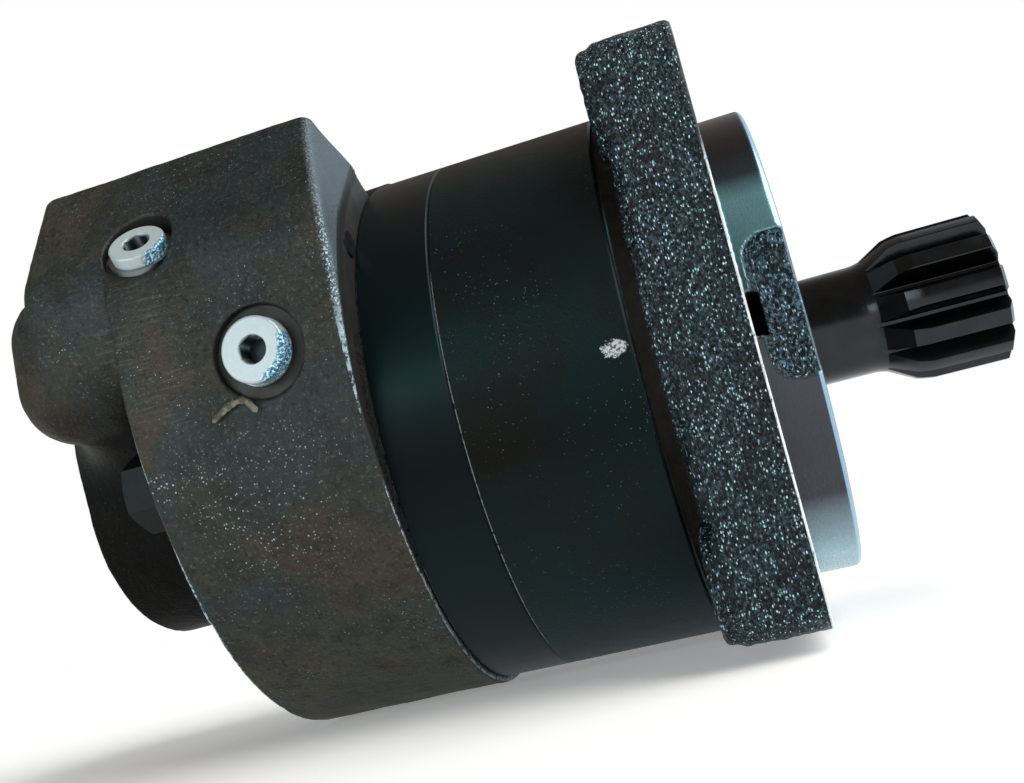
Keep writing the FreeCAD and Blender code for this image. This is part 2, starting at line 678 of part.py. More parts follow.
def cardan_shaft():
    front_half, back_half = 4.2, 3.4
    length = math.hypot(X_CARDAN_FRONT - X_CARDAN_BACK, ECCENTRICITY)
    x_back = X_CARDAN_FRONT - length
    shank = turned([(X_CARDAN_FRONT + 2, 0), (X_CARDAN_FRONT + 2, DRIVE_HEAD_CORE_R - 1),
                    (X_CARDAN_FRONT - 6, DRIVE_HEAD_CORE_R - 1),
                    (X_CARDAN_FRONT - 11, DRIVE_SHANK_R), (x_back + 9, DRIVE_SHANK_R),
                    (x_back + 5, DRIVE_HEAD_CORE_R - 1), (x_back, DRIVE_HEAD_CORE_R - 1),
                    (x_back, 0)])
    parts = [drive_head(X_CARDAN_FRONT, front_half), shank, drive_head(x_back, back_half)]
    return tipped(fuse_all(parts), X_CARDAN_FRONT, X_CARDAN_BACK)


def valve_drive():
    front_half, back_half = 2.2, 3.0
    length = math.hypot(X_VALVE_DRIVE_FRONT - X_VALVE_DRIVE_BACK, ECCENTRICITY)
    x_front = X_VALVE_DRIVE_BACK + length
    shank = turned([(x_front + 2.8, 0), (x_front + 2.8, 7.0), (x_front + 1.5, 9.0),
                    (x_front - 4, 9.0), (x_front - 7, 7.5), (X_VALVE_DRIVE_BACK + 7, 7.5),
                    (X_VALVE_DRIVE_BACK + 3, 12.0), (X_VALVE_DRIVE_BACK - 3.4, 12.0),
                    (X_VALVE_DRIVE_BACK - 3.4, 0)])
    parts = [drive_head(x_front, front_half), shank, drive_head(X_VALVE_DRIVE_BACK, back_half)]
    return tipped(fuse_all(parts), X_VALVE_DRIVE_BACK, X_VALVE_DRIVE_FRONT)


def star_outline(count=180):
    """Points of a disc with LOBES lobes that stays in touch with all the rollers."""
    ring, roller, ecc = ROLLER_CIRCLE_R, ROLLER_R + POCKET_GAP, ECCENTRICITY
    points = []
    for i in range(count):
        t = 2 * math.pi * i / count
        lean = -math.atan2(math.sin(LOBES * t), ring / (ecc * ROLLERS) - math.cos(LOBES * t))
        a = ring * math.cos(t) - roller * math.cos(t + lean) - ecc * math.cos(ROLLERS * t)
        b = ring * math.sin(t) - roller * math.sin(t + lean) - ecc * math.sin(ROLLERS * t)
        points.append((a, b))
    return points


def geroler_star():
    turn = math.radians(GEROLER_PHASE)
    y0, z0 = eccentric_yz()
    x0, x1 = X_GEROLER_BACK + SIDE_GAP, X_BEARING_BACK - SIDE_GAP
    places = [Vector(x0, y0 + a * math.cos(turn) - b * math.sin(turn),
                     z0 + a * math.sin(turn) + b * math.cos(turn)) for a, b in star_outline()]
    curve = Part.BSplineCurve()
    curve.interpolate(places, PeriodicFlag=True)
    star = Part.Face(Part.Wire(curve.toShape())).extrude(AXIS * (x1 - x0))
    socket = drive_socket(x0 - 1, x1 + 1)
    socket.translate(Vector(0, y0, z0))
    return star.cut(socket)


def drive_spacer():
    front, back, radius = SPACER
    y, z = eccentric_yz()
    return rod(radius, back, front, y, z)


def disc_valve():
    front, back = X_CHANNEL_BACK - SIDE_GAP, X_DISC_BACK + SIDE_GAP
    slot_depth = 5.0
    body = rod(DISC_R, back, front).cut(drive_socket(back - 1, front + 1))
    slots = []
    for k in range(LOBES):
        inner = around(CHANNEL_PORT_CIRCLE_R - 2, 60 * k)
        outer = around(CHANNEL_PORT_CIRCLE_R + 3, 60 * k + 30)
        slots.append(rod(3.2, front - slot_depth, front + 1, *inner))
        slots.append(rod(3.6, front - slot_depth, front + 1, *outer))
    return body.cut(compound(slots))


# ---- balance plate and its spring ---------------------------------------------------------
def balance_plate():
    hub_gap = 0.05
    plate = turned([(X_DISC_BACK, BALANCE_BORE_R), (X_DISC_BACK, BALANCE_R),
                    (X_BALANCE_STEP, BALANCE_R), (X_BALANCE_STEP, BALANCE_HUB_R - hub_gap),
                    (X_BALANCE_BACK, BALANCE_HUB_R - hub_gap),
                    (X_BALANCE_BACK, BALANCE_BORE_R)])
    groove = tube(BALANCE_HUB_R, BALANCE_HUB_R - 2.1, X_BALANCE_STEP - 9, X_BALANCE_STEP - 6)
    return plate.cut(groove)


def balance_spring():
    length = X_BALANCE_BACK - X_SPRING_BACK
    return coil(BALANCE_HUB_R - 5, BALANCE_WIRE_R, length, BALANCE_TURNS,
                Vector(X_SPRING_BACK, 0, 0), AXIS)


# ---- plugs and check valves ------------------------------------------------------------
def plug_washer(name):
    start, inward = plug_seats()[name]
    seat = start + inward * SPOT_DEPTH
    ring = drill(seat, inward * -1, PLUG_WASHER_R, PLUG_WASHER)
    return ring.cut(drill(seat, inward * -1, PLUG_THREAD_R, PLUG_WASHER))


def socket_plug(name):
    start, inward = plug_seats()[name]
    under_head = start + inward * (SPOT_DEPTH - PLUG_WASHER)
    head_r, head_height = PLUG_HEADS[name]
    top = under_head - inward * head_height
    head = drill(top, inward, head_r, head_height)
    head = rounded(head, PLUG_HEAD_ROUND, lambda e: (edge_middle(e) - top).dot(inward) < 1e-6
                   and isinstance(e.Curve, Part.Circle))
    thread = drill(top, inward, PLUG_THREAD_R, head_height + PLUG_THREAD)
    socket = hexagon(PLUG_SOCKET, top, inward, PLUG_SOCKET_DEPTH)
    mouth = Part.makeCone(PLUG_SOCKET * 0.58, PLUG_SOCKET * 0.5, 0.6, top, inward)
    return head.fuse(thread).removeSplitter().cut(socket).cut(mouth)


def check_ball(name):
    start, inward = plug_seats()[name]
    rest = CHECK_BORE_END - math.sqrt(CHECK_BALL_R ** 2 - CHECK_SEAT_R ** 2)
    return Part.makeSphere(CHECK_BALL_R, start + inward * rest)


def check_spring(name):
    start, inward = plug_seats()[name]
    plug_end = SPOT_DEPTH - PLUG_WASHER + PLUG_THREAD
    ball_middle = CHECK_BORE_END - math.sqrt(CHECK_BALL_R ** 2 - CHECK_SEAT_R ** 2)
    ball_touch = ball_middle - CHECK_BALL_R + 0.55
    return coil(SPRING_MEAN_R, SPRING_WIRE_R, ball_touch - plug_end, SPRING_TURNS,
                start + inward * plug_end, inward)


# ---- seals -----------------------------------------------------------------------------
def shaft_seal():
    back, front = X_FRONT_CUP + 0.2, SEAL_BORE_FRONT - 0.3
    lip_r = SHAFT_NECK_R + 0.04
    return turned([(back, SEAL_BORE_R), (front, SEAL_BORE_R), (front, SEAL_BORE_R - 8),
                   (front - 2.5, SEAL_BORE_R - 8), (front - 4.5, lip_r), (front - 6, lip_r),
                   (back + 0.6, lip_r + 3.0), (back + 0.6, lip_r + 5.0),
                   (front - 3, SEAL_BORE_R - 4.5), (front - 3, SEAL_BORE_R - 1.8),
                   (back, SEAL_BORE_R - 1.8)])


def dust_wiper():
    lip_r = SHAFT_NECK_R + 0.04
    back, front = WIPER_BORE_BACK, PILOT_LENGTH - 0.8
    return turned([(back, WIPER_BORE_R), (front, WIPER_BORE_R), (front, WIPER_BORE_R - 4),
                   (front - 0.6, lip_r + 2.0), (front - 0.2, lip_r), (front - 1.4, lip_r),
                   (back + 1.0, lip_r + 2.4), (back, lip_r + 3.0)])


def face_seal(x_face):
    return Part.makeTorus(FACE_SEAL_R, FACE_SEAL_SECTION,
                          Vector(x_face + GROOVE_DEPTH / 2, 0, 0), AXIS)


def balance_seal():
    return Part.makeTorus(BALANCE_HUB_R - 1.08, 0.99, Vector(X_BALANCE_STEP - 7.5, 0, 0), AXIS)


# ---- the whole motor -------------------------------------------------------------------
def build():
    front = tapered_bearing(FRONT_BEARING, X_FRONT_CUP, -1)
    rear = tapered_bearing(REAR_BEARING, X_REAR_CUP, 1)
    nodes = {
        "mounting_flange": mounting_flange(),
        "bearing_housing": bearing_housing(),
        "geroler_ring": geroler_ring(),
        "valve_housing": valve_housing(),
        "wear_plate": wear_plate(),
        "channel_plate": channel_plate(),
        "channel_plate_dowels": compound(dowels()),
        "housing_bolts": housing_bolts(),
        "bolt_washers": bolt_washers(),
        "output_shaft": output_shaft(),
        "cardan_shaft": cardan_shaft(),
        "drive_spacer": drive_spacer(),
        "geroler_star": geroler_star(),
        "valve_drive": valve_drive(),
        "disc_valve": disc_valve(),
        "balance_plate": balance_plate(),
        "balance_spring": balance_spring(),
        "balance_seal": balance_seal(),
        "shaft_seal": shaft_seal(),
        "dust_wiper": dust_wiper(),
        "flange_face_seal": face_seal(X_NECK_BACK),
        "geroler_front_seal": face_seal(X_BEARING_BACK),
        "geroler_rear_seal": face_seal(X_GEROLER_BACK),
        "passage_plug": passage_plug_rod(X_GEROLER_BACK - 6, X_GEROLER_BACK + 0.5),
        "drain_plug": socket_plug("drain"),
        "drain_plug_washer": plug_washer("drain"),
    }
    for piece in ("cup", "cone", "rollers", "cage"):
        nodes["front_bearing_" + piece] = front[piece]
        nodes["rear_bearing_" + piece] = rear[piece]
    for k, (y, z) in enumerate(roller_places()):
        nodes["geroler_roller_%d" % (k + 1)] = rod(
            ROLLER_R, X_GEROLER_BACK + SIDE_GAP, X_BEARING_BACK - SIDE_GAP, y, z)
    for name in ("side", "lobe"):
        nodes[name + "_check_plug"] = socket_plug(name)
        nodes[name + "_check_washer"] = plug_washer(name)
        nodes[name + "_check_spring"] = check_spring(name)
        nodes[name + "_check_ball"] = check_ball(name)
    return nodes


os.makedirs("parts", exist_ok=True)
for node, shape in build().items():
    shape.exportStep("parts/%s.step" % node)
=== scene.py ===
"""Looks of the hydraulic motor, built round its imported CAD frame.

The two castings are skinned from distance fields, with cast fillets, machined cuts and a
sand-cast surface in the mesh itself. Every other CAD node keeps its shape and gets a
procedural material. Shape code works in millimetres, and meshes are scaled to metres.
"""
import json
import math
from functools import reduce

import bpy
import numpy as np
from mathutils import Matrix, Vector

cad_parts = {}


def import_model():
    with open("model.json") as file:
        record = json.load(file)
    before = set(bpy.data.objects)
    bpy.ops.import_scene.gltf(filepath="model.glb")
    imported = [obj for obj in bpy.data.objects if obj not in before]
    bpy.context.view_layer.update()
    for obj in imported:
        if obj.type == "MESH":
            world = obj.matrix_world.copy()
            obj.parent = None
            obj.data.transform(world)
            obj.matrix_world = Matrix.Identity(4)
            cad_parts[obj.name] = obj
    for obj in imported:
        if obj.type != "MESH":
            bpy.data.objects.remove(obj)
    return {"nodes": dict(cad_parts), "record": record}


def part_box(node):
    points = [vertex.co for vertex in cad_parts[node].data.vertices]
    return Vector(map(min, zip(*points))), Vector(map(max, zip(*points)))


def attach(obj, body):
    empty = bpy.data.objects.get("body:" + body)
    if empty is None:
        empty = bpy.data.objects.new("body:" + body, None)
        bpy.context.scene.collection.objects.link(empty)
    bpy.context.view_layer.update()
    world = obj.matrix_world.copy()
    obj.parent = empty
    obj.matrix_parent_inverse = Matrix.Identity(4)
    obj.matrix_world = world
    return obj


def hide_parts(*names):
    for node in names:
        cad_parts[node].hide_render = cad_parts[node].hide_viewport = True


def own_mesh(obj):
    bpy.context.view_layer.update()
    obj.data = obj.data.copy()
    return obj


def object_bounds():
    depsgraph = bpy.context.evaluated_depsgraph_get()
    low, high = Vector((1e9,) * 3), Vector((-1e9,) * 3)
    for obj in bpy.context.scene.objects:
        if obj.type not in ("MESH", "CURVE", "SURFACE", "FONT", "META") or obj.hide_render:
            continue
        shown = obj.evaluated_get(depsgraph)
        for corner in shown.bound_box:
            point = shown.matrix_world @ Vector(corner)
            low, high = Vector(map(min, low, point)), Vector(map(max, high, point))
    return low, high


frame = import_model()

import openvdb
from mathutils import Euler, Vector

MM = 0.001
CAD_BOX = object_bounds()

# ---- stations and radii, partly read from the frame ------------------------------------------


def box_mm(node):
    low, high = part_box(node)
    return np.array(low) / MM, np.array(high) / MM


FLANGE_LOW, FLANGE_HIGH = box_mm("mounting_flange")
VALVE_LOW, VALVE_HIGH = box_mm("valve_housing")
BEARING_LOW, BEARING_HIGH = box_mm("bearing_housing")
GEROLER_LOW = box_mm("geroler_ring")[0]
WASHERS_HIGH = box_mm("bolt_washers")[1]

X_PILOT = FLANGE_HIGH[0]
X_NECK = BEARING_HIGH[0]
X_JOINT = GEROLER_LOW[0]
X_RIM = WASHERS_HIGH[0]
X_LOBE = VALVE_HIGH[0]
X_END = VALVE_LOW[0]
VALVE_R = VALVE_HIGH[1]
NECK_R = FLANGE_HIGH[1]
FLANGE_HALF = 70.0
PILOT_R = 62.5
FLANGE_BACK = -20.5
PAD_Y = -81.0
TILT = math.radians(30.0)
BOLT_CIRCLE_R = 61.0
BOLT_ANGLES = (-4.0, 86.0, 176.0, 266.0)


def up_from_near(radius, degrees):
    """(y, z) at an angle measured up from -Y."""
    a = math.radians(degrees)
    return -radius * math.cos(a), radius * math.sin(a)


def centre_mm(node):
    low, high = box_mm(node)
    return (low + high) / 2


# ---- distance field vocabulary (negative inside) ---------------------------------------------


def soft_and(a, b, radius):
    """Intersection whose edge is rounded to a radius."""
    corner = np.hypot(np.maximum(a + radius, 0), np.maximum(b + radius, 0)) - radius
    return np.minimum(np.maximum(a, b), -radius) * (corner <= -radius) + corner * (corner > -radius)


def soft_or(a, b, radius):
    """Union with a fillet of a radius in the corner between the two."""
    return -soft_and(-a, -b, radius)


def cut(a, b, radius=0.0):
    """a without b."""
    return soft_and(a, -b, radius) if radius else np.maximum(a, -b)


def lobe_axes(y, z):
    """u out to the lobe's end face, n up to its port face."""
    return -y * math.cos(TILT) + z * math.sin(TILT), y * math.sin(TILT) + z * math.cos(TILT)


def union(fields):
    return reduce(np.minimum, fields)


def slab(x, x0, x1):
    return np.maximum(x0 - x, x - x1)


def rod(x, y, z, radius, x0, x1, cy=0.0, cz=0.0):
    return np.maximum(np.hypot(y - cy, z - cz) - radius, slab(x, x0, x1))


def drill(x, y, z, start, direction, radius, depth, above=6.0):
    """Round hole from start along direction, open for a little way above it."""
    dx, dy, dz = x - start[0], y - start[1], z - start[2]
    along = dx * direction[0] + dy * direction[1] + dz * direction[2]
    away = np.sqrt(np.maximum(dx * dx + dy * dy + dz * dz - along * along, 0))
    return np.maximum(away - radius, np.maximum(along - depth, -along - above))


def ring_groove(x, y, z, radius, half, x0, x1):
    return np.maximum(abs(np.hypot(y, z) - radius) - half, slab(x, x0, x1))


def bolt_holes(x, y, z, radius, x0, x1):
    return union(rod(x, y, z, radius, x0, x1, *up_from_near(BOLT_CIRCLE_R, angle))
                 for angle in BOLT_ANGLES)


# ---- valve housing ---------------------------------------------------------------------------
LOBE_REACH = 94.4
LOBE_TOP = 33.3
PORT_FACE = 32.3
LOBE_INNER = 50.0
X_LOBE_BACK = -164.5
BELLY_BACK = -176.5
BOSS_R = 39.3
RECESS_R = 78.0
PORT_X = (-105.5, -145.0)
PORT_U = 71.5
PORT_THREAD_R = 12.1
PORT_SEAL_R = 16.5
PORT_DEPTH = 18.0
SPOT_DEPTH = 2.2
PLUG_THREAD_R, PLUG_THREAD_DEPTH = 5.9, 12.4
PLUG_DRILL_R, PLUG_DRILL_DEPTH = 4.6, 27.0
VALVE_BORES = ((49.0, -97.0), (42.0, -119.0), (28.0, -162.0), (16.0, -174.0))  # radius, back end


def unit(vector):
    return np.array(vector) / np.linalg.norm(vector)


def port_mouth(px):
    return (px, -PORT_U * math.cos(TILT) + PORT_FACE * math.sin(TILT),
            PORT_U * math.sin(TILT) + PORT_FACE * math.cos(TILT))


def seat(node, inward, spot_r):
    """Surface point where a plug's spot face starts, from the washer that lies in it."""
    low, high = box_mm(node)
    inward = np.array(inward)
    washer_under = (low + high) / 2 + inward * 0.6
    return washer_under - inward * SPOT_DEPTH, inward, spot_r


SIDE_PLUG_OUT = np.array((0.0, -1.0, 0.0))
LOBE_PLUG_OUT = unit((0.12, -0.76, 0.64))
DRAIN_PLUG_OUT = np.array((0.0, math.sqrt(0.5), -math.sqrt(0.5)))
SEATS = (
    seat("side_check_washer", -SIDE_PLUG_OUT, 10.9),
    seat("lobe_check_washer", -LOBE_PLUG_OUT, 9.2),
    seat("drain_plug_washer", -DRAIN_PLUG_OUT, 10.9),
)


def ease(value, start, end):
    t = np.clip((value - start) / (end - start), 0, 1)
    return t * t * (3 - 2 * t)


def lobe_end(y, z):
    u, n = lobe_axes(y, z)
    return soft_and(u - LOBE_REACH, n - LOBE_TOP, 2.6)


def side_block(x, y, z):
    """Lobe and side pad: port face, end face, ridge, pad and the lower slope."""
    slope_at = math.radians(-31.9)
    slope = -y * math.cos(slope_at) + z * math.sin(slope_at) - VALVE_R
    pad = PAD_Y - 1.4 * ease(-x, 112.0, 128.0) - y
    block = soft_and(soft_and(lobe_end(y, z), pad, 5.0), slope, 14.0)
    lower_end = 0.287 * y - 0.958 * (z + 20.0)
    return np.maximum(block, np.maximum(lower_end, y))


def rear_block(x, y, z):
    """The lobe behind the rim, drawn in below the ridge towards the belly."""
    drawn_in = -0.984 * (y + 81.9) - 0.179 * (z - 43.0)
    block = soft_and(lobe_end(y, z), drawn_in, 5.0)
    low = np.maximum(19.0 - z, 25.0 - lobe_axes(y, z)[0])
    return soft_and(soft_and(block, low, 8.0), X_LOBE_BACK - x, 5.0)


def belly(x, y, z):
    """Rounded bulge behind the pad, over the cored passage."""
    half = (19.0, 26.0, 20.0)
    place = (BELLY_BACK + half[0], -52.6, 31.0)
    turn = 14.0
    dx = np.maximum(abs(x - place[0]) - half[0] + turn, 0)
    dy = np.maximum(abs(y - place[1]) - half[1] + turn, 0)
    dz = np.maximum(abs(z - place[2]) - half[2] + turn, 0)
    return np.sqrt(dx * dx + dy * dy + dz * dz) - turn


def valve_casting(x, y, z):
    u, n = lobe_axes(y, z)
    radius = np.hypot(y, z)
    body = soft_and(radius - VALVE_R, slab(x, X_RIM, X_JOINT), 0.6)
    body = cut(body, np.maximum(LOBE_TOP - n, LOBE_INNER - u), 2.0)
    front = x - X_LOBE + 3.4 * ease(n, -2.0, 33.0) * ease(u, 70.0, 94.0)
    side = soft_or(body, soft_and(side_block(x, y, z), X_RIM - x, 1.4), 1.5)
    side = soft_and(side, front, 3.0)
    rear = soft_and(rear_block(x, y, z), front, 3.0)
    boss = np.maximum(soft_and(radius - BOSS_R, X_END - x, 2.2), x - X_RIM - 5.0)
    bulge = soft_or(belly(x, y, z), boss, 22.0)
    bulge = soft_and(np.maximum(bulge, x - X_RIM - 5.0), X_END - x, 2.0)
    bulge = cut(bulge, bolt_holes(x, y, z, 11.6, X_RIM - 60, X_RIM), 2.5)
    return soft_or(np.minimum(side, rear), bulge, 2.5)


def valve_machining(x, y, z):
    """All the space that machining takes out of the casting."""
    radius = np.hypot(y, z)
    wall = X_JOINT + np.clip(radius - RECESS_R, 0, None) * 0.25
    fields = [np.maximum(radius - RECESS_R - 6.0, wall - x)]
    fields += [rod(x, y, z, bore_r, back, 0) for bore_r, back in VALVE_BORES]
    fields.append(bolt_holes(x, y, z, 6.5, X_RIM - 1, 0))
    for start, inward, spot_r in SEATS:
        fields += [drill(x, y, z, start, inward, spot_r, SPOT_DEPTH, 9.0),
                   drill(x, y, z, start, inward, PLUG_THREAD_R, PLUG_THREAD_DEPTH),
                   drill(x, y, z, start, inward, PLUG_DRILL_R, PLUG_DRILL_DEPTH)]
    down = (0.0, -math.sin(TILT), -math.cos(TILT))
    for px in PORT_X:
        mouth = port_mouth(px)
        fields += [drill(x, y, z, mouth, down, PORT_SEAL_R, 0.0),
                   drill(x, y, z, mouth, down, PORT_THREAD_R + 1.2, PORT_DEPTH)]
    return union(fields)


def valve_field(x, y, z):
    return cut(valve_casting(x, y, z), valve_machining(x, y, z))


# ---- mounting flange -------------------------------------------------------------------------
HOLE_CIRCLE_R = 80.0
HOLE_R = 7.0
HOLE_PAD_R = 14.0
POCKET_FLOOR_Y = -58.6
FLANGE_BORES = ((23.5, 7.0, 20), (17.0, 3.0, 9.0), (26.0, -6.0, 4.5), (37.5, -40.0, -4.5))


def flange_outline(y, z):
    """Square with rounded corners."""
    corner = 9.0
    qy = abs(y) - FLANGE_HALF + corner
    qz = abs(z) - FLANGE_HALF + corner
    outside = np.hypot(np.maximum(qy, 0), np.maximum(qz, 0)) - corner
    return outside + np.minimum(np.maximum(qy, qz), 0)


def screw_circles(y, z, radius):
    """A circle round each of the four mounting screws."""
    reach = HOLE_CIRCLE_R * math.sqrt(0.5)
    return np.hypot(abs(y) - reach, abs(z) - reach) - radius


def flange_casting(x, y, z):
    outline = flange_outline(y, z)
    ragged = (0.5 * np.sin(z * 0.23) + 0.4 * np.sin(z * 0.57 + 1.0) + 0.3 * np.sin(z * 1.15 + 2.0)
              + 0.4 * np.sin(y * 0.31 + 1.0) + 0.3 * np.sin(y * 0.83))
    plate = soft_and(outline, FLANGE_BACK + 0.5 + 0.9 * ragged - x, 2.6)
    radius = np.hypot(y, z)
    pads = np.maximum(screw_circles(y, z, HOLE_PAD_R), outline + 0.6)
    pads = soft_and(pads, FLANGE_LOW[0] + 2.4 - x, 2.0)
    plate = soft_or(plate, pads, 1.0)
    plate = soft_or(plate, soft_and(radius - NECK_R, X_NECK - x, 0.4), 1.5)
    return soft_and(plate, x, 0.45 + 1.3 * ease(z, 38.0, 55.0))


def flange_pocket(x, y, z):
    """Cast pocket in the near side of the pilot: flat floor, sloped rounded walls."""
    out = POCKET_FLOOR_Y - y
    lean = 0.35
    walls = soft_and(abs(z) - 16.0 - lean * out, 3.2 - lean * out - x, 5.0)
    return soft_and(walls, -out, 1.5)


def drain_slot(x, y, z):
    """Slot in the pilot's near wall, against the flange's face."""
    return np.maximum(abs(x - 1.6) - 1.4, np.maximum(abs(z + 1.0) - 5.0, y + 46.0))


def flange_machining(x, y, z):
    """All the space that machining takes out of the flange, and the slot in its pilot."""
    fields = [rod(x, y, z, *bore) for bore in FLANGE_BORES]
    fields += [ring_groove(x, y, z, 51.7, 1.5, -40.0, X_NECK + 2.1), screw_circles(y, z, HOLE_R),
               bolt_holes(x, y, z, 6.0, -40.0, -4.0), drain_slot(x, y, z)]
    return union(fields)


def flange_field(x, y, z):
    pilot = soft_and(np.hypot(y, z) - PILOT_R, x - X_PILOT, 1.6)
    pilot = cut(np.maximum(pilot, -2.0 - x), flange_pocket(x, y, z), 0.8)
    return cut(np.minimum(flange_casting(x, y, z), pilot), flange_machining(x, y, z))


# ---- from field to mesh ----------------------------------------------------------------------


def noise(points, wavelength, seed):
    """Smooth gradient noise, about -1 to 1, at an (n, 3) array of points."""
    places = points / wavelength
    cell = np.floor(places).astype(np.int64)
    inside = places - cell
    fade = inside ** 3 * (inside * (inside * 6 - 15) + 10)
    total = np.zeros(len(points))
    for corner in np.ndindex(2, 2, 2):
        c = cell + np.array(corner)
        key = (c[:, 0] * 73856093) ^ (c[:, 1] * 19349663) ^ (c[:, 2] * 83492791) ^ (seed * 2654435)
        slopes = []
        for shift in (1, 2, 3):
            mixed = (key * (shift * 668265263 + 374761393)) & 0xFFFFFFFF
            mixed = (mixed ^ (mixed >> 15)) * 2246822519 & 0xFFFFFFFF
            mixed = mixed ^ (mixed >> 13)
            slopes.append((mixed & 0xFFFF) / 32767.5 - 1)
        away = inside - np.array(corner)
        dot = away[:, 0] * slopes[0] + away[:, 1] * slopes[1] + away[:, 2] * slopes[2]
        weight = np.prod(np.where(np.array(corner) == 1, fade, 1 - fade), axis=1)
        total += weight * dot
    return total * 1.7


def gradient(field, points, step=0.15):
    p = points
    parts = []
    for axis in range(3):
        ahead, behind = p.copy(), p.copy()
        ahead[:, axis] += step
        behind[:, axis] -= step
        parts.append((field(*ahead.T) - field(*behind.T)) / (2 * step))
    slope = np.stack(parts, axis=1)
    size = np.linalg.norm(slope, axis=1, keepdims=True)
    return slope / np.maximum(size, 1e-6)


def skin(field, low, high, step):
    """Points and quads on the surface where the field is zero."""
    low = np.array(low, np.float32) - 2.5 * step
    high = np.array(high, np.float32) + 2.5 * step
    axes = [np.arange(a, b, step, dtype=np.float32) for a, b in zip(low, high)]
    x, y, z = np.meshgrid(*axes, indexing="ij", sparse=True)
    values = np.clip(field(x, y, z), -3 * step, 3 * step).astype(np.float32)
    grid = openvdb.FloatGrid(3 * step)
    grid.copyFromArray(values)
    points, quads = grid.convertToQuads()
    points = low + np.asarray(points, np.float64) * step
    for _ in range(2):
        move = np.clip(field(*points.T), -0.3 * step, 0.3 * step)
        points = points - gradient(field, points) * move[:, None]
    return points, np.asarray(quads, np.int64)


def new_object(name, data):
    obj = bpy.data.objects.new(name, data)
    bpy.context.scene.collection.objects.link(obj)
    return obj


def mesh_object(name, points_mm, faces, attributes):
    mesh = bpy.data.meshes.new(name)
    mesh.vertices.add(len(points_mm))
    mesh.vertices.foreach_set("co", (points_mm * MM).astype(np.float32).ravel())
    corners = faces.shape[1]
    mesh.loops.add(faces.size)
    mesh.polygons.add(len(faces))
    mesh.loops.foreach_set("vertex_index", faces.astype(np.int32).ravel())
    mesh.polygons.foreach_set("loop_start", np.arange(0, faces.size, corners, dtype=np.int32))
    for key, values in attributes.items():
        layer = mesh.attributes.new(key, "FLOAT", "POINT")
        layer.data.foreach_set("value", np.asarray(values, np.float32))
    mesh.update()
    mesh.validate()
    mesh.shade_smooth()
    return new_object(name, mesh)


def outward(points, quads, slope):
    """Quads wound so that their normals point out of the solid."""
    a, b, c = (points[quads[:, k]] for k in (0, 1, 2))
    facing = (np.cross(b - a, c - a) * slope[quads[:, 0]]).sum(axis=1)
    return quads if facing.sum() > 0 else quads[:, ::-1]


VALVE_STEP = 0.62
FLANGE_STEP = 0.55


def build_valve_housing():
    step = VALVE_STEP
    points, quads = skin(valve_field, VALVE_LOW, VALVE_HIGH, step)
    slope = gradient(valve_field, points)
    cast = ease(valve_machining(*points.T), 0.05, 0.4)
    cast = cast * ease(valve_casting(*points.T), -0.6, -0.2)
    outer = np.hypot(points[:, 1], points[:, 2]) > 70.0
    at_joint = ease(points[:, 0], X_JOINT - 4.0, X_JOINT - 1.6) * outer
    swell = 0.16 * noise(points, 17.0, 3) + 0.10 * noise(points, 7.0, 5)
    grain = 0.055 * noise(points, 2.6, 7) + 0.035 * noise(points, 1.5, 8)
    lift = (swell + grain - 0.12) * cast * (1.0 - at_joint)
    x, y, z = points.T
    radius = np.hypot(y, z)
    # faces of the lobe that look forward, for a painted highlight
    front = ease(slope[:, 0], 0.35, 0.85) * ease(x, X_LOBE - 8.0, X_LOBE - 6.0)
    front = front * (radius > RECESS_R)
    # a band along the lobe's front edge, for painted glints
    near_front = ease(x, X_LOBE - 9.0, X_LOBE - 6.0) * ease(slope[:, 0], 0.25, 0.5)
    near_front = near_front * ease(0.93 - slope[:, 0], 0.0, 0.2)
    near_front = near_front * (radius > RECESS_R - 3.0) * ease(z, 0.0, 12.0)
    near_front = near_front * (1.0 - 0.7 * ease(z, 42.0, 47.0))
    # edges at the rear rim and at the joint, low down: rubbed bright, with a painted highlight
    on_rim = (abs(radius - VALVE_R) < 2.0) | (y < PAD_Y + 3.0)
    rim = ease(-x, -X_RIM - 1.6, -X_RIM - 1.2) * ease(-z, -10.0, 12.0)
    rim = np.maximum(rim, ease(x, X_JOINT - 1.8, X_JOINT - 1.4) * ease(-z, -30.0, -10.0))
    rim = rim * on_rim * (radius > VALVE_R - 1.2)
    points = points + slope * lift[:, None]
    # up marks faces that look up, for their painted reflection tone
    return mesh_object("valve_housing_casting", points, outward(points, quads, slope),
                       {"cast": cast, "front": front, "glint": near_front, "worn_edge_highlight": rim,
                        "up": ease(slope[:, 2], 0.25, 0.42)})


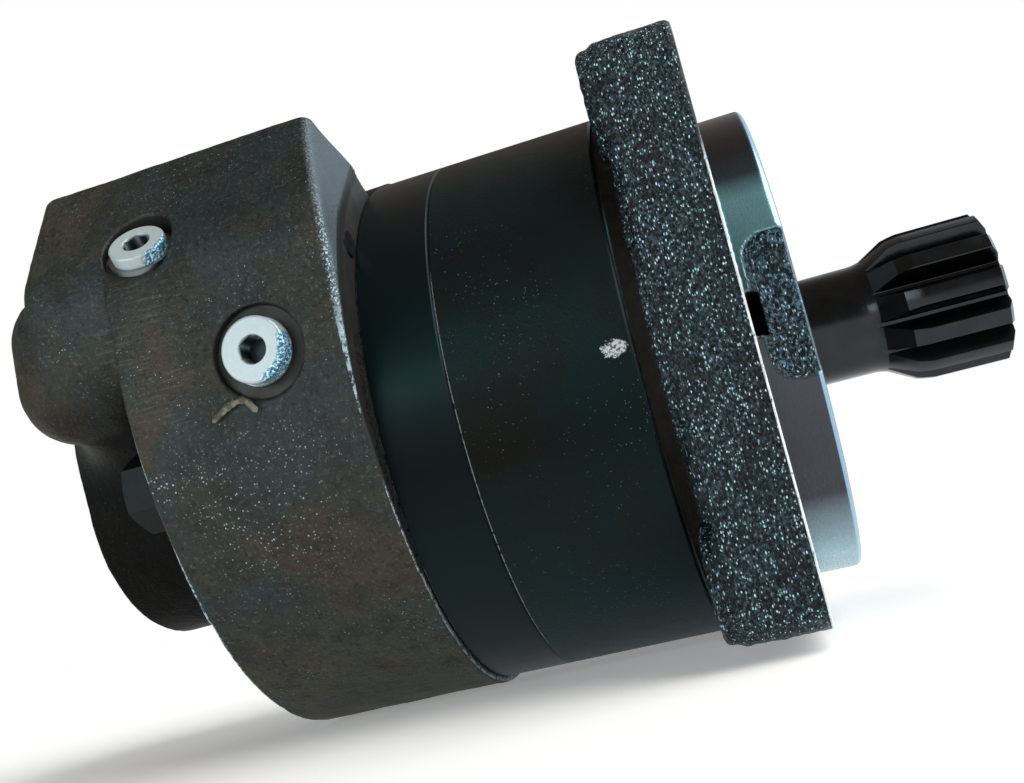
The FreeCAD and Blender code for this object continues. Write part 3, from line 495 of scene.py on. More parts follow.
def build_flange():
    step = FLANGE_STEP
    points, quads = skin(flange_field, FLANGE_LOW, FLANGE_HIGH, step)
    slope = gradient(flange_field, points)
    x, y, z = points.T
    cast = ease(flange_machining(x, y, z), 0.1, 0.6)
    in_plate = ease(-x, 0.12, 0.5) * ease(x - X_NECK, 0.1, 0.5)
    in_pocket = ease(-flange_pocket(x, y, z), -0.5, -0.1)
    cast = cast * np.maximum(in_plate, in_pocket * (x > 1.0))
    pebble = 0.17 * noise(points, 2.9, 11) + 0.14 * noise(points, 1.9, 12)
    swell = 0.22 * noise(points, 14.0, 13)
    lift = (pebble + swell - 0.2) * cast
    points = points + slope * lift[:, None]
    radius = np.hypot(y, z)
    # the drain slot's walls, painted near black as shade in the slot
    in_slot = ease(-abs(drain_slot(x, y, z)), -0.4, -0.1)
    in_slot = in_slot * ease(PILOT_R - 0.6 - radius, 0.0, 0.6)
    cast = np.maximum(cast, in_slot)
    neck = ease(FLANGE_BACK - 0.4 - x, 0.0, 0.8) * ease(NECK_R + 3.0 - radius, 0.0, 1.0)
    # the plate's front edge, low down, rubbed bright with a painted highlight
    line = ease(x, -1.6, -1.2) * (x < 0.5) * ease(flange_outline(y, z), -2.4, -1.4)
    line = line * ease(-z, -40.0, -26.0)
    # pocket marks where the painted glints are brighter; face marks the pilot's front faces, kept
    # out of the painted reflection bands
    return mesh_object("flange_casting", points, outward(points, quads, slope),
                       {"cast": cast, "neck": np.maximum(neck, in_slot), "worn_edge_highlight": line,
                        "pocket": in_pocket * (x > 1.0), "face": ease(slope[:, 0], 0.85, 0.97)})


# ---- material vocabulary ---------------------------------------------------------------------
def set_stops(ramp, stops):
    """Fill a colour ramp from (place, colour) pairs."""
    elements = ramp.color_ramp.elements
    while len(elements) < len(stops):
        elements.new(0.5)
    for element, (place, colour) in zip(elements, stops):
        element.position = place
        element.color = (*colour, 1.0)


class Paint:
    """One procedural material: short calls that add nodes and return their sockets."""

    def __init__(self, name):
        self.material = bpy.data.materials.new(name)
        self.material.use_nodes = True
        self.tree = self.material.node_tree
        self.shader = self.tree.nodes["Principled BSDF"]
        self.place = self.node("ShaderNodeTexCoord").outputs["Object"]

    def node(self, kind, **settings):
        node = self.tree.nodes.new(kind)
        for key, value in settings.items():
            setattr(node, key, value)
        return node

    def feed(self, socket, value):
        if isinstance(value, bpy.types.NodeSocket):
            self.tree.links.new(value, socket)
        else:
            socket.default_value = value

    def set(self, **values):
        for key, value in values.items():
            self.feed(self.shader.inputs[key.replace("_", " ")], value)

    def stretched(self, x, y, z):
        """Object coordinates in millimetres over the three wavelengths."""
        node = self.node("ShaderNodeMapping")
        node.inputs["Scale"].default_value = (1 / (x * MM), 1 / (y * MM), 1 / (z * MM))
        self.feed(node.inputs["Vector"], self.place)
        return node.outputs["Vector"]

    def noise(self, size, detail=2.0, rough=0.5, stretch=(1, 1, 1), warp=0.0):
        node = self.node("ShaderNodeTexNoise")
        self.feed(node.inputs["Vector"], self.stretched(*(size * s for s in stretch)))
        node.inputs["Scale"].default_value = 1.0
        node.inputs["Detail"].default_value = detail
        node.inputs["Roughness"].default_value = rough
        node.inputs["Distortion"].default_value = warp
        return node.outputs["Fac"]

    def cells(self, size, stretch=(1, 1, 1)):
        """(distance to the nearest cell centre, a random number for each cell)."""
        node = self.node("ShaderNodeTexVoronoi")
        self.feed(node.inputs["Vector"], self.stretched(*(size * s for s in stretch)))
        node.inputs["Scale"].default_value = 1.0
        split = self.node("ShaderNodeSeparateColor")
        self.feed(split.inputs["Color"], node.outputs["Color"])
        return node.outputs["Distance"], split.outputs["Red"]

    def sparkle(self, size, rare, stretch=(1, 1, 1)):
        """Small painted glints of uneven strength, about a size apart, at random cells."""
        distance, pick = self.cells(size, stretch)
        chosen = self.remap(pick, rare, 1.0)
        return self.times(chosen, self.remap(distance, 0.22, 0.45, 1.0, 0.0))

    def vector(self, operation, a, b=(0.0, 0.0, 0.0)):
        node = self.node("ShaderNodeVectorMath", operation=operation)
        self.feed(node.inputs[0], a)
        self.feed(node.inputs[1], b)
        return node

    def attribute(self, name):
        return self.node("ShaderNodeAttribute", attribute_name=name).outputs["Fac"]

    def coordinate(self, axis):
        split = self.node("ShaderNodeSeparateXYZ")
        self.feed(split.inputs["Vector"], self.place)
        return split.outputs[axis]

    def math(self, operation, a, b=0.0, c=0.0):
        node = self.node("ShaderNodeMath", operation=operation)
        for socket, value in zip(node.inputs, (a, b, c)):
            self.feed(socket, value)
        return node.outputs["Value"]

    def times(self, a, b):
        return self.math("MULTIPLY", a, b)

    def remap(self, value, from_low, from_high, to_low=0.0, to_high=1.0):
        node = self.node("ShaderNodeMapRange", interpolation_type="SMOOTHSTEP")
        self.feed(node.inputs["Value"], value)
        for key, number in (("From Min", from_low), ("From Max", from_high),
                            ("To Min", to_low), ("To Max", to_high)):
            self.feed(node.inputs[key], number)
        return node.outputs["Result"]

    def remap_linear(self, value, low, high):
        node = self.node("ShaderNodeMapRange")
        self.feed(node.inputs["Value"], value)
        self.feed(node.inputs["From Min"], low)
        self.feed(node.inputs["From Max"], high)
        return node.outputs["Result"]

    def between(self, value, low, high, soft):
        """1 where the value lies between two limits, fading over a soft width."""
        rise = self.remap(value, low - soft, low + soft)
        fall = self.remap(value, high - soft, high + soft, 1.0, 0.0)
        return self.times(rise, fall)

    def ramp(self, value, *stops):
        node = self.node("ShaderNodeValToRGB")
        set_stops(node, stops)
        self.feed(node.inputs["Fac"], value)
        return node.outputs["Color"]

    def mix(self, share, a, b):
        node = self.node("ShaderNodeMix", data_type="RGBA")
        self.feed(node.inputs["Factor"], share)
        for socket, value in ((node.inputs[6], a), (node.inputs[7], b)):
            self.feed(socket, (*value, 1.0) if isinstance(value, tuple) else value)
        return node.outputs[2]

    def blend(self, share, a, b):
        node = self.node("ShaderNodeMix", data_type="FLOAT")
        for key, value in (("Factor", share), ("A", a), ("B", b)):
            self.feed(node.inputs[key], value)
        return node.outputs["Result"]

    def bump(self, *layers):
        """Layers are (height, depth in millimetres), laid over one another."""
        normal = None
        for height, depth in layers:
            node = self.node("ShaderNodeBump")
            node.inputs["Distance"].default_value = depth * MM
            self.feed(node.inputs["Height"], height)
            if normal is not None:
                self.feed(node.inputs["Normal"], normal)
            normal = node.outputs["Normal"]
        self.feed(self.shader.inputs["Normal"], normal)
        return self.material


# ---- materials -------------------------------------------------------------------------------
def valve_cast():
    """Oiled grey-brown iron: blue-grey and brown mottling, ground marks along X, and painted
    glints, highlights, reflection tones and shade.
    """
    p = Paint("valve_cast")
    cast, front, glint, worn_edge_highlight = (p.attribute(name) for name in ("cast", "front", "glint", "worn_edge_highlight"))
    x, z = p.coordinate("X"), p.coordinate("Z")
    colour = p.ramp(p.noise(30.0, 3.0, 0.6, warp=0.8), (0.38, (0.038, 0.030, 0.018)),
                    (0.5, (0.022, 0.026, 0.020)), (0.62, (0.016, 0.027, 0.028)))
    # painted reflection: faces that look up get a brown tone towards the back and a blue-teal tone
    # towards the front
    painted_up_reflection = p.mix(p.remap(x, -0.158, -0.112), (0.046, 0.043, 0.033), (0.006, 0.020, 0.026))
    colour = p.mix(p.times(p.attribute("up"), 0.5), colour, painted_up_reflection)
    # painted light: paler grey-green towards the bottom
    colour = p.mix(p.remap(z, -0.064, -0.034, 0.45, 0.0), colour, (0.058, 0.064, 0.046))
    colour = p.mix(p.remap(p.noise(7.0, 4.0, 0.65), 0.42, 0.72, 0.0, 0.7), colour,
                   (0.009, 0.010, 0.008))
    colour = p.mix(p.remap(p.noise(1.1, 3.0, 0.75), 0.52, 0.74, 0.0, 0.8), colour,
                   (0.075, 0.082, 0.074))
    colour = p.mix(p.remap(p.noise(1.4, 3.0, 0.75), 0.50, 0.72, 0.0, 0.85), colour,
                   (0.004, 0.005, 0.004))
    streaks = p.noise(0.55, 3.0, 0.6, stretch=(18, 1, 1))
    ground = p.times(p.between(x, -0.149, -0.124, 0.005),
                    p.between(z, 0.004, 0.046, 0.008))
    ground = p.times(ground, p.remap(p.noise(9.0), 0.35, 0.6, 0.3, 1.0))
    streaked = p.times(ground, p.remap(streaks, 0.50, 0.70))
    colour = p.mix(p.times(streaked, 0.5), colour, (0.105, 0.100, 0.078))
    # painted highlight: a lighter blue-grey on the lobe's forward-looking faces
    colour = p.mix(p.times(front, 0.9), colour, (0.075, 0.105, 0.125))
    # painted glints: bright specks in patches, joined below by the other painted glints and the
    # bright edges
    clear = p.remap(p.noise(15.0, 2.0), 0.42, 0.60, 0.05, 0.9)
    sparkle = p.times(p.sparkle(0.40, 0.945), clear)
    # painted glints: a patch of bright specks, placed by x and z
    painted_glint_patch = p.times(p.between(x, -0.131, -0.099, 0.007), p.between(z, -0.031, -0.001, 0.007))
    painted_glint_patch = p.times(painted_glint_patch, p.sparkle(0.55, 0.82))
    # painted glints: a ragged bright streak near the rear rim, a little below the middle
    painted_glint_streak = p.times(p.between(x, -0.1495, -0.132, 0.001), p.between(z, -0.010, -0.004, 0.0015))
    painted_glint_streak = p.times(painted_glint_streak, p.sparkle(0.7, 0.45))
    # painted glints along the lobe's front edge
    glint = p.times(glint, p.remap(p.noise(0.5, 2.0, 0.7), 0.51, 0.62))
    # rubbed rim and joint edges, low down, painted bright as a highlight
    edge = p.math("SUBTRACT", 1.0, p.between(x, (X_RIM + 0.7) * MM, (X_JOINT - 0.5) * MM, 0.00006))
    worn_edge_highlight = p.times(p.times(worn_edge_highlight, edge), p.remap(p.noise(1.3, 3.0, 0.7), 0.42, 0.54))
    for more in (painted_glint_patch, painted_glint_streak, glint, worn_edge_highlight):
        sparkle = p.math("MAXIMUM", sparkle, more)
    colour = p.mix(sparkle, colour, (0.36, 0.50, 0.57))
    # painted shade: below the middle behind the rim the casting goes near black, with its
    # reflections dimmed
    under = p.times(p.remap(x, (X_RIM - 5.0) * MM, (X_RIM - 1.0) * MM, 1.0, 0.0),
                   p.remap(z, 0.002, 0.030, 1.0, 0.0))
    under = p.times(under, 0.88)
    colour = p.mix(under, colour, (0.002, 0.002, 0.002))
    steel = p.mix(p.noise(5.0), (0.026, 0.027, 0.025), (0.065, 0.067, 0.062))
    colour = p.mix(cast, steel, colour)
    rough = p.blend(sparkle, p.blend(p.noise(9.0, 3.0), 0.42, 0.62), 0.25)
    p.set(Base_Color=colour, Roughness=rough, Metallic=p.blend(cast, 0.8, 0.25),
          Specular_IOR_Level=p.blend(under, p.blend(cast, 0.5, 0.34), 0.03))
    fine = p.times(p.noise(1.0, 3.0, 0.7), cast)
    return p.bump((fine, 0.26), (p.times(streaks, cast), 0.05))


def flange_black():
    """Glossy black over coarse sand-cast iron with painted glints, and bare machined steel where it
    was cut, banded by height with painted reflections; its front edge rubbed bright low down with a
    painted highlight, and painted shade in the drain slot.
    """
    p = Paint("flange_black")
    cast, neck, pocket, worn_edge_highlight = (p.attribute(name) for name in ("cast", "neck", "pocket", "worn_edge_highlight"))
    colour = p.ramp(p.noise(20.0, 3.0), (0.35, (0.003, 0.003, 0.003)),
                    (0.65, (0.003, 0.006, 0.008)))
    grains_and_glints = p.noise(0.85, 2.5, 0.65, stretch=(0.8, 1.0, 1.2), warp=0.5)
    patch = p.remap(p.noise(8.0, 2.0), 0.35, 0.6, 0.5, 1.0)
    # painted glints: blue-grey grains, brighter and bluer in the pocket
    glint = p.times(p.remap(grains_and_glints, 0.42, 0.70), patch)
    colour = p.mix(glint, colour, p.mix(pocket, (0.050, 0.090, 0.112), (0.11, 0.22, 0.29)))
    # painted glints: small blue-white specks
    speck_glints = p.times(p.sparkle(0.66, 0.30, (0.75, 1.0, 1.5)), p.remap(grains_and_glints, 0.44, 0.52))
    colour = p.mix(speck_glints, colour, (0.55, 0.87, 1.0))
    # rust on the neck; the drain slot's walls get the same near black as painted shade
    rust_and_slot_shade = p.mix(p.noise(3.0, 4.0), (0.003, 0.003, 0.003), (0.013, 0.011, 0.008))
    colour = p.mix(neck, colour, rust_and_slot_shade)
    turned = p.noise(0.5, 2.0, 0.5, stretch=(0.6, 8, 8))
    # painted reflections: machined steel banded by height, pale blue at the bottom, a teal band
    # above the middle, dark brown at the top
    height = p.remap_linear(p.coordinate("Z"), -0.0625, 0.0625)
    steel = p.ramp(height, (0.04, (0.42, 0.62, 0.70)), (0.16, (0.060, 0.062, 0.075)),
                   (0.50, (0.070, 0.085, 0.096)), (0.64, (0.24, 0.50, 0.58)),
                   (0.71, (0.30, 0.68, 0.78)), (0.76, (0.060, 0.095, 0.110)),
                   (0.82, (0.038, 0.038, 0.042)), (0.99, (0.026, 0.018, 0.015)))
    steel = p.mix(p.noise(9.0, 3.0), steel, p.mix(0.35, steel, (0.05, 0.05, 0.05)))
    # painted highlight: light blue along the pilot's chamfer
    chamfer_highlight = p.remap(p.coordinate("X"), (X_PILOT - 1.2) * MM, (X_PILOT - 0.9) * MM, 0.0, 0.7)
    steel = p.mix(chamfer_highlight, steel, (0.40, 0.66, 0.90))
    # the pilot's front faces stay flat grey, out of the painted reflection bands
    steel = p.mix(p.attribute("face"), steel, (0.105, 0.108, 0.112))
    colour = p.mix(cast, steel, colour)
    # front edge, low down: rubbed bright, with a painted highlight, near white and not metallic
    shine = p.times(worn_edge_highlight, p.remap(p.coordinate("X"), -0.00056, -0.00044))
    shine = p.times(shine, p.remap(p.noise(1.8, 3.0, 0.7), 0.30, 0.44))
    colour = p.mix(shine, colour, (0.82, 0.90, 0.94))
    rough = p.blend(cast, p.blend(turned, 0.22, 0.34), p.blend(p.noise(6.0), 0.20, 0.36))
    metal = p.times(p.blend(cast, 0.85, 0.0), p.math("SUBTRACT", 1.0, shine))
    p.set(Base_Color=colour, Roughness=p.blend(neck, rough, 0.62), Metallic=metal,
          Specular_IOR_Level=p.blend(neck, 0.16, 0.06))
    coarse = p.times(grains_and_glints, p.math("SUBTRACT", cast, p.times(neck, 0.8)))
    return p.bump((coarse, 0.8), (turned, 0.004))


def painted_ring_reflection(p, z):
    """Painted reflection tint round a ring, set by height: teal, with olive above and black below
    the middle.
    """
    height = p.remap_linear(z, -0.073, 0.073)
    return p.ramp(height, (0.05, (0.50, 0.90, 0.95)), (0.22, (0.32, 0.62, 0.66)),
                  (0.38, (0.20, 0.20, 0.17)), (0.48, (0.26, 0.40, 0.42)),
                  (0.58, (0.38, 0.95, 1.0)), (0.72, (0.26, 0.42, 0.42)),
                  (0.88, (0.34, 0.38, 0.29)))


def ring_black():
    """Wide ring: satin black, fine painted glints, a scuffed patch, painted reflection tints by
    height, its rear rim rubbed bright low down with a painted highlight.
    """
    p = Paint("ring_black")
    x, y, z = (p.coordinate(axis) for axis in "XYZ")
    colour = p.ramp(p.noise(30.0, 3.0, 0.6), (0.40, (0.0055, 0.0055, 0.0045)),
                    (0.62, (0.003, 0.0085, 0.0095)))
    # painted reflection: teal towards the bottom
    colour = p.mix(p.remap(z, -0.070, -0.040, 1.0, 0.0), colour, (0.005, 0.019, 0.023))
    # painted glints in patches
    grains_and_glints = p.times(p.sparkle(0.38, 0.95), p.remap(p.noise(22.0), 0.42, 0.62, 0.0, 0.7))
    colour = p.mix(grains_and_glints, colour, (0.16, 0.21, 0.23))
    scuff = p.times(p.between(x, -0.0328, -0.0262, 0.0022),
                   p.between(z, -0.0042, 0.0004, 0.0022))
    scuff = p.times(scuff, p.math("LESS_THAN", y, 0.0))
    scuff = p.times(scuff, p.noise(1.1, 4.0, 0.75, stretch=(1.5, 1, 1)))
    scuff = p.remap(scuff, 0.31, 0.37)
    scuff = p.times(scuff, p.remap(p.noise(0.7, 3.0, 0.7), 0.42, 0.52, 0.15, 1.0))
    colour = p.mix(scuff, colour, (0.50, 0.53, 0.56))
    # rear rim, low down: rubbed bright, with a painted highlight
    edge = p.remap(x, (BEARING_LOW[0] + 0.24) * MM, (BEARING_LOW[0] + 0.36) * MM, 1.0, 0.0)
    edge = p.times(edge, p.remap(p.noise(1.4, 3.0, 0.7), 0.38, 0.50))
    edge = p.times(edge, p.remap(z, 0.016, 0.030, 1.0, 0.0))
    colour = p.mix(edge, colour, (0.66, 0.76, 0.80))
    bright = p.math("MAXIMUM", edge, scuff)
    p.set(Base_Color=colour, Roughness=p.blend(p.noise(5.0, 3.0), 0.36, 0.50),
          Metallic=p.times(bright, 0.8), Specular_IOR_Level=0.24,
          Specular_Tint=painted_ring_reflection(p, z))
    return p.bump((p.noise(0.8, 3.0, 0.65), 0.10))


def ring_steel():
    """Thin ring: smooth blue-black steel with painted reflection tints by height, its rear rim
    rubbed bright low down with a painted highlight.
    """
    p = Paint("ring_steel")
    x, z = p.coordinate("X"), p.coordinate("Z")
    colour = p.mix(p.noise(22.0, 2.0), (0.002, 0.004, 0.005), (0.003, 0.007, 0.008))
    # rear rim, low down: rubbed bright, with a painted highlight
    edge = p.remap(x, (GEROLER_LOW[0] + 0.30) * MM, (GEROLER_LOW[0] + 0.40) * MM, 1.0, 0.0)
    edge = p.times(edge, p.remap(p.noise(1.2, 3.0, 0.7), 0.40, 0.50))
    edge = p.times(edge, p.remap(z, 0.020, 0.045, 1.0, 0.0))
    colour = p.mix(edge, colour, (0.62, 0.68, 0.70))
    p.set(Base_Color=colour, Roughness=p.blend(p.noise(9.0, 4.0, 0.6), 0.28, 0.40),
          Metallic=p.times(edge, 0.9), Specular_IOR_Level=0.26,
          Specular_Tint=painted_ring_reflection(p, z))
    return p.bump((p.noise(0.5, 2.0, 0.5, stretch=(6, 1, 1)), 0.006), (p.noise(1.2, 3.0), 0.012))


def steel(name, dark, light, low_rough, high_rough, marks=0.01, size=6.0):
    """Machined steel with tone and polish that vary, and fine tool marks across X."""
    p = Paint(name)
    colour = p.mix(p.noise(size, 3.0, 0.6), dark, light)
    tool = p.noise(0.35, 2.0, 0.5, stretch=(0.5, 10, 10))
    p.set(Base_Color=colour, Roughness=p.blend(p.noise(size / 2, 3.0), low_rough, high_rough),
          Metallic=1.0)
    return p.bump((tool, marks), (p.noise(0.8, 2.0), marks))


def zinc():
    """Bright zinc plate: pale faces with a fine satin grain."""
    p = Paint("zinc")
    return zinc_skin(p, p.mix(p.noise(1.2, 3.0, 0.6), (0.38, 0.44, 0.45), (0.48, 0.54, 0.55)))


def zinc_skin(p, colour):
    p.set(Base_Color=colour, Roughness=p.blend(p.noise(1.0, 3.0), 0.32, 0.48), Metallic=0.3)
    return p.bump((p.noise(0.45, 3.0, 0.6), 0.02))


def zinc_plug(node, washer, out):
    """Zinc plug with a dark centre painted as shade in its socket, and painted blue glints on the
    rim that faces the shaft.
    """
    p = Paint(node)
    middle = Vector(centre_mm(washer) * MM)
    from_middle = p.vector("SUBTRACT", p.place, middle).outputs["Vector"]
    away = p.vector("LENGTH", p.vector("CROSS_PRODUCT", from_middle, Vector(out)).outputs["Vector"])
    away = away.outputs["Value"]
    colour = p.mix(p.noise(1.2, 3.0, 0.6), (0.40, 0.47, 0.48), (0.50, 0.58, 0.60))
    # painted glints: blue and blue-white on the rim that faces the shaft
    blue = p.mix(p.remap(p.noise(0.6, 3.0, 0.7), 0.46, 0.60), (0.01, 0.10, 0.17), (0.55, 0.84, 1.0))
    towards = p.vector("DOT_PRODUCT", from_middle, Vector((0.85, 0.0, -0.53))).outputs["Value"]
    rim = p.times(p.remap(away, 0.0056, 0.0065), p.remap(towards, 0.0036, 0.0054))
    colour = p.mix(rim, colour, blue)
    # painted shade: near black in the socket at the centre
    colour = p.mix(p.remap(away, 0.0030, 0.0036, 1.0, 0.0), colour, (0.006, 0.022, 0.030))
    return zinc_skin(p, colour)


def rubber():
    p = Paint("rubber")
    p.set(Base_Color=p.mix(p.noise(3.0, 3.0), (0.014, 0.014, 0.015), (0.028, 0.028, 0.030)),
          Roughness=p.blend(p.noise(1.5), 0.55, 0.75))
    return p.bump((p.noise(0.4, 2.0), 0.02))


def oxide():
    """Black oxide on the tie bolts and their washers, dull with a little brown."""
    p = Paint("bolt_black")
    p.set(Base_Color=p.mix(p.noise(4.0, 4.0), (0.005, 0.008, 0.009), (0.016, 0.018, 0.018)),
          Roughness=p.blend(p.noise(2.0, 3.0), 0.35, 0.6), Metallic=0.7, Specular_IOR_Level=0.3)
    return p.bump((p.noise(0.9, 3.0), 0.05))


def bronze():
    p = Paint("bronze")
    p.set(Base_Color=p.mix(p.noise(4.0, 4.0), (0.36, 0.22, 0.09), (0.52, 0.34, 0.15)),
          Roughness=p.blend(p.noise(2.0, 3.0), 0.28, 0.45), Metallic=1.0)
    return p.bump((p.noise(0.4, 2.0, 0.5, stretch=(1, 6, 6)), 0.008))


def sealant():
    """Dried olive thread sealant."""
    p = Paint("sealant")
    thickness = p.remap(p.noise(2.2, 3.0), 0.4, 0.6)
    p.set(Base_Color=p.mix(thickness, (0.035, 0.034, 0.018), (0.150, 0.148, 0.095)),
          Roughness=0.42)
    return p.bump((p.noise(0.8, 3.0), 0.12))


def pale_floor():
    p = Paint("pale_floor")
    p.set(Base_Color=p.mix(p.noise(180.0, 3.0), (0.86, 0.86, 0.855), (0.90, 0.90, 0.895)),
          Roughness=0.95, Emission_Color=(1.0, 1.0, 1.0, 1.0), Emission_Strength=0.24)
    return p.material


MATERIALS = {
    "cast_black": flange_black(),
    "ring_black": ring_black(),
    "ring_steel": ring_steel(),
    "valve_cast": valve_cast(),
    "shaft_black": steel("shaft_black", (0.026, 0.025, 0.026), (0.046, 0.053, 0.058), 0.15, 0.28),
    "bearing_steel": steel("bearing_steel", (0.50, 0.51, 0.53), (0.62, 0.63, 0.65), 0.12, 0.24,
                           marks=0.003),
    "steel": steel("steel", (0.34, 0.35, 0.37), (0.48, 0.49, 0.50), 0.22, 0.40),
    "cage": steel("cage", (0.36, 0.35, 0.33), (0.50, 0.49, 0.46), 0.30, 0.48),
    "spring": steel("spring", (0.22, 0.22, 0.23), (0.34, 0.34, 0.35), 0.25, 0.40, 0.004, 3.0),
    "washer_zinc": steel("washer_zinc", (0.16, 0.19, 0.19), (0.30, 0.34, 0.35), 0.25, 0.40,
                         marks=0.006, size=2.0),
    "zinc": zinc(),
    "bolt_black": oxide(),
    "rubber": rubber(),
    "bronze": bronze(),
}


# ---- small pieces ----------------------------------------------------------------------------
SMEAR_WIDTH, SMEAR_HEIGHT = 1.7, 0.16


def smear(name, path):
    """Flattened bead of sealant on the side pad, along (x, z) points in millimetres."""
    path = np.array(path)
    sides, stations = 10, 40
    steps = np.linspace(0, len(path) - 1, stations)
    line = np.stack([np.interp(steps, range(len(path)), path[:, k]) for k in (0, 1)], axis=1)
    ahead = np.gradient(line, axis=0)
    ahead /= np.linalg.norm(ahead, axis=1, keepdims=True)
    across = np.stack([-ahead[:, 1], ahead[:, 0]], axis=1)
    share = np.linspace(0, 1, stations)
    fat = np.sqrt(np.clip(1 - (2 * share - 1) ** 6, 0.0004, 1))
    points = []
    for k in range(stations):
        for s in range(sides):
            a = 2 * math.pi * s / sides
            side = line[k] + across[k] * math.cos(a) * SMEAR_WIDTH / 2 * fat[k]
            points.append((side[0], PAD_Y - math.sin(a) * SMEAR_HEIGHT * fat[k] + 0.1, side[1]))
    points = np.array(points)
    bumps = noise(points, 1.3, 21)
    points[:, 1] += 0.08 * bumps
    points[:, 2] += 0.55 * bumps
    faces = [(k * sides + s, k * sides + (s + 1) % sides,
              (k + 1) * sides + (s + 1) % sides, (k + 1) * sides + s)
             for k in range(stations - 1) for s in range(sides)]
    return mesh_object(name, points, np.array(faces), {})


def port_thread(name, px):
    """Ring with a helical internal thread, set in a port bore."""
    pitch, crest, root, outer, depth = 1.814, PORT_THREAD_R, PORT_THREAD_R + 1.0, 13.6, 17.4
    around, per_pitch = 96, 8
    rows = int(depth / pitch * per_pitch)
    mouth = Vector(port_mouth(px))
    out = Vector((0, math.sin(TILT), math.cos(TILT)))
    side = Vector((1, 0, 0))
    third = out.cross(side)
    points = []

    def ring(radius_at, down):
        for k in range(around):
            a = 2 * math.pi * k / around
            radius = radius_at(k / around)
            p = mouth - out * down + side * (radius * math.cos(a)) + third * (radius * math.sin(a))
            points.append(tuple(p))

    for row in range(rows + 1):
        turn = row / per_pitch
        ring(lambda share: crest + (root - crest) * abs(((turn + share) % 1.0) * 2 - 1),
             0.3 + (depth - 0.3) * row / rows)
    ring(lambda share: outer, depth)
    ring(lambda share: outer, 0.3)
    total = rows + 3
    faces = [(r * around + k, r * around + (k + 1) % around,
              ((r + 1) % total) * around + (k + 1) % around, ((r + 1) % total) * around + k)
             for r in range(total) for k in range(around)]
    return mesh_object(name, np.array(points), np.array(faces), {})


# ---- the object ------------------------------------------------------------------------------
PLUGS = {
    "side_check_plug": zinc_plug("side_check_plug", "side_check_washer", SIDE_PLUG_OUT),
    "lobe_check_plug": zinc_plug("lobe_check_plug", "lobe_check_washer", LOBE_PLUG_OUT),
    "drain_plug": zinc_plug("drain_plug", "drain_plug_washer", DRAIN_PLUG_OUT),
    "passage_plug": steel("passage_plug", (0.07, 0.09, 0.10), (0.20, 0.25, 0.28), 0.15, 0.30),
}
SLOT_OF = {part["node"]: part["material_slot"] for part in frame["record"]["subparts"]}
for node, obj in frame["nodes"].items():
    obj.data.materials.clear()
    obj.data.materials.append(PLUGS.get(node) or MATERIALS[SLOT_OF[node]])


def add_piece(obj, material, replaced=None):
    obj.data.materials.append(material)
    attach(obj, "housing")
    if replaced:
        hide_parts(replaced)


add_piece(build_valve_housing(), MATERIALS["valve_cast"], "valve_housing")
add_piece(build_flange(), MATERIALS["cast_black"], "mounting_flange")
for letter, px in zip("ab", PORT_X):
    add_piece(port_thread("port_thread_" + letter, px), MATERIALS["steel"])


def check_spring(node):
    """A check valve's spring, copied from its CAD coil into an object of its own."""
    source = frame["nodes"][node]
    mesh = source.data.copy()
    mesh.transform(source.matrix_world)
    mesh.materials.clear()
    obj = new_object(node + "_coil", mesh)
    add_piece(obj, MATERIALS["spring"], node)
    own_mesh(obj)


check_spring("side_check_spring")
check_spring("lobe_check_spring")

PLUG = centre_mm("side_check_plug")
SEALANT = sealant()
SMEARS = (  # (x, z) from the side plug's centre
    ((-7.0, -9.2), (-4.8, -10.6), (-3.0, -13.2)),
    ((-6.4, -9.6), (-10.2, -10.6), (-14.2, -12.6)),
)
for k, offsets in enumerate(SMEARS):
    route = [(PLUG[0] + dx, PLUG[2] + dz) for dx, dz in offsets]
    add_piece(smear("sealant_%d" % (k + 1), route), SEALANT)


# ---- stage, light and camera -----------------------------------------------------------------
def floor():
    bpy.ops.mesh.primitive_circle_add(vertices=96, radius=6.0, fill_type="NGON",
                                      location=(0, 0, CAD_BOX[0][2] - 0.0005))
    obj = bpy.context.object
    obj.name = "floor"
    obj.data.materials.append(pale_floor())


def area_light(name, place, aim, size, watts, colour):
    data = bpy.data.lights.new(name, "AREA")
    data.shape = "RECTANGLE"
    data.size, data.size_y = size
    data.energy = watts
    data.color = colour
    obj = new_object(name, data)
    obj.location = place
    obj.rotation_euler = (Vector(aim) - Vector(place)).to_track_quat("-Z", "Y").to_euler()


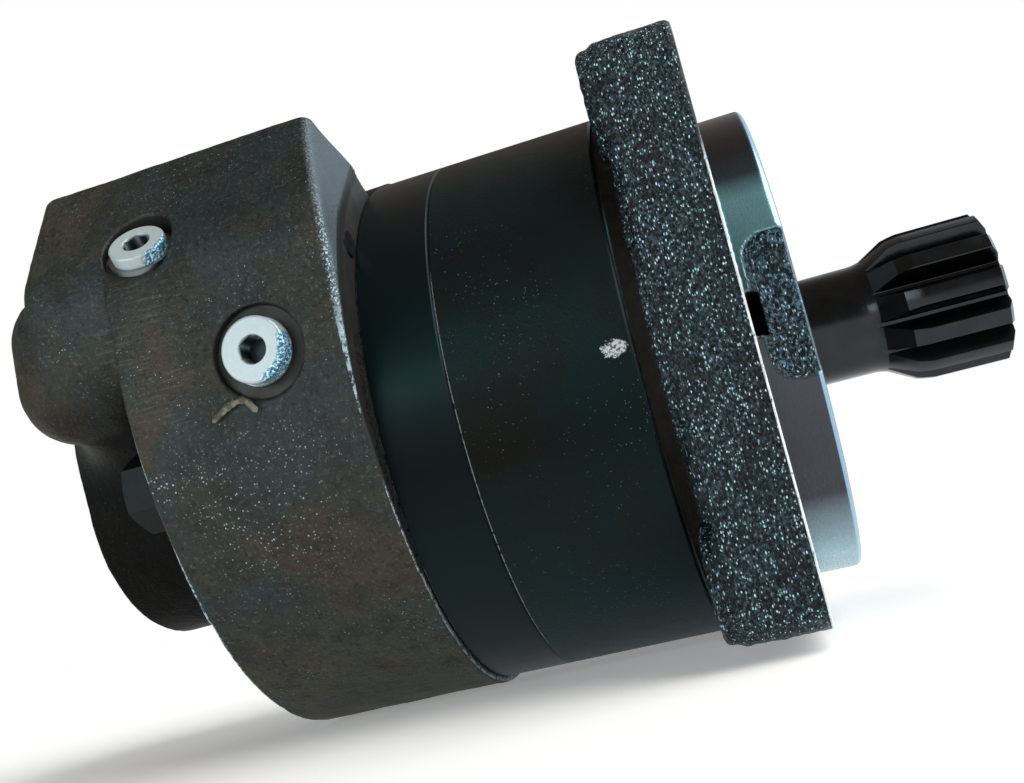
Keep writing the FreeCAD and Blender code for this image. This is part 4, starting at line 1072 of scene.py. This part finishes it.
def world():
    """White to the eye; to the object a dim room, warm overhead and bright behind it."""
    data = bpy.data.worlds.new("studio")
    data.use_nodes = True
    bpy.context.scene.world = data
    tree = data.node_tree
    tree.nodes.clear()
    out = tree.nodes.new("ShaderNodeOutputWorld")
    seen = tree.nodes.new("ShaderNodeBackground")
    seen.inputs["Color"].default_value = (1.0, 1.0, 1.0, 1.0)
    room = tree.nodes.new("ShaderNodeBackground")
    place = tree.nodes.new("ShaderNodeTexCoord")
    towards = tree.nodes.new("ShaderNodeVectorMath")
    towards.operation = "DOT_PRODUCT"
    towards.inputs[1].default_value = (0.78, 0.60, 0.18)
    shade = tree.nodes.new("ShaderNodeValToRGB")
    set_stops(shade, ((0.0, (0.20, 0.21, 0.22)), (0.40, (0.20, 0.17, 0.145)),
                      (0.78, (0.26, 0.23, 0.21)), (0.92, (0.80, 0.92, 1.0))))
    spread = tree.nodes.new("ShaderNodeMapRange")
    spread.inputs["From Min"].default_value = -1.0
    mixer = tree.nodes.new("ShaderNodeMixShader")
    path = tree.nodes.new("ShaderNodeLightPath")
    link = tree.links.new
    link(place.outputs["Generated"], towards.inputs[0])
    link(towards.outputs["Value"], spread.inputs["Value"])
    link(spread.outputs["Result"], shade.inputs["Fac"])
    link(shade.outputs["Color"], room.inputs["Color"])
    link(path.outputs["Is Camera Ray"], mixer.inputs["Fac"])
    link(room.outputs[0], mixer.inputs[1])
    link(seen.outputs[0], mixer.inputs[2])
    link(mixer.outputs[0], out.inputs["Surface"])


CAMERA_PLACE = (-0.005105, -0.300857, -0.040788)
CAMERA_DEGREES = (-11.913, 8.635, -13.264)    # heading, pitch, roll
CAMERA_LENS = 37.966


def camera():
    heading, pitch, roll = (math.radians(a) for a in CAMERA_DEGREES)
    data = bpy.data.cameras.new("camera")
    data.lens = CAMERA_LENS
    data.sensor_width = 36.0
    data.clip_start = 0.01
    obj = new_object("camera", data)
    look = Euler((math.pi / 2 + pitch, 0, -heading), "XYZ").to_matrix()
    tilt = Euler((0, 0, roll), "XYZ").to_matrix()
    obj.matrix_world = (look @ tilt).to_4x4()
    obj.location = CAMERA_PLACE
    bpy.context.scene.camera = obj


def soft_sun(heading, strength, angle, colour):
    """Distant soft light that shines from a heading."""
    data = bpy.data.lights.new("sun", "SUN")
    data.energy = strength
    data.angle = math.radians(angle)
    data.color = colour
    obj = new_object("sun", data)
    obj.rotation_euler = (-Vector(heading)).to_track_quat("-Z", "Y").to_euler()


floor()
world()
camera()
soft_sun((0.8, -0.15, 0.62), 3.2, 60.0, (1.0, 0.99, 0.97))
area_light("front", (-0.55, -1.0, 0.19), (-0.06, 0, 0), (0.9, 0.26), 3.0, (0.85, 0.96, 1.0))
area_light("left", (-1.0, -0.85, -0.02), (0.04, 0, 0), (0.35, 0.35), 1.5, (0.85, 0.95, 1.0))
bpy.context.scene.view_settings.view_transform = "Standard"
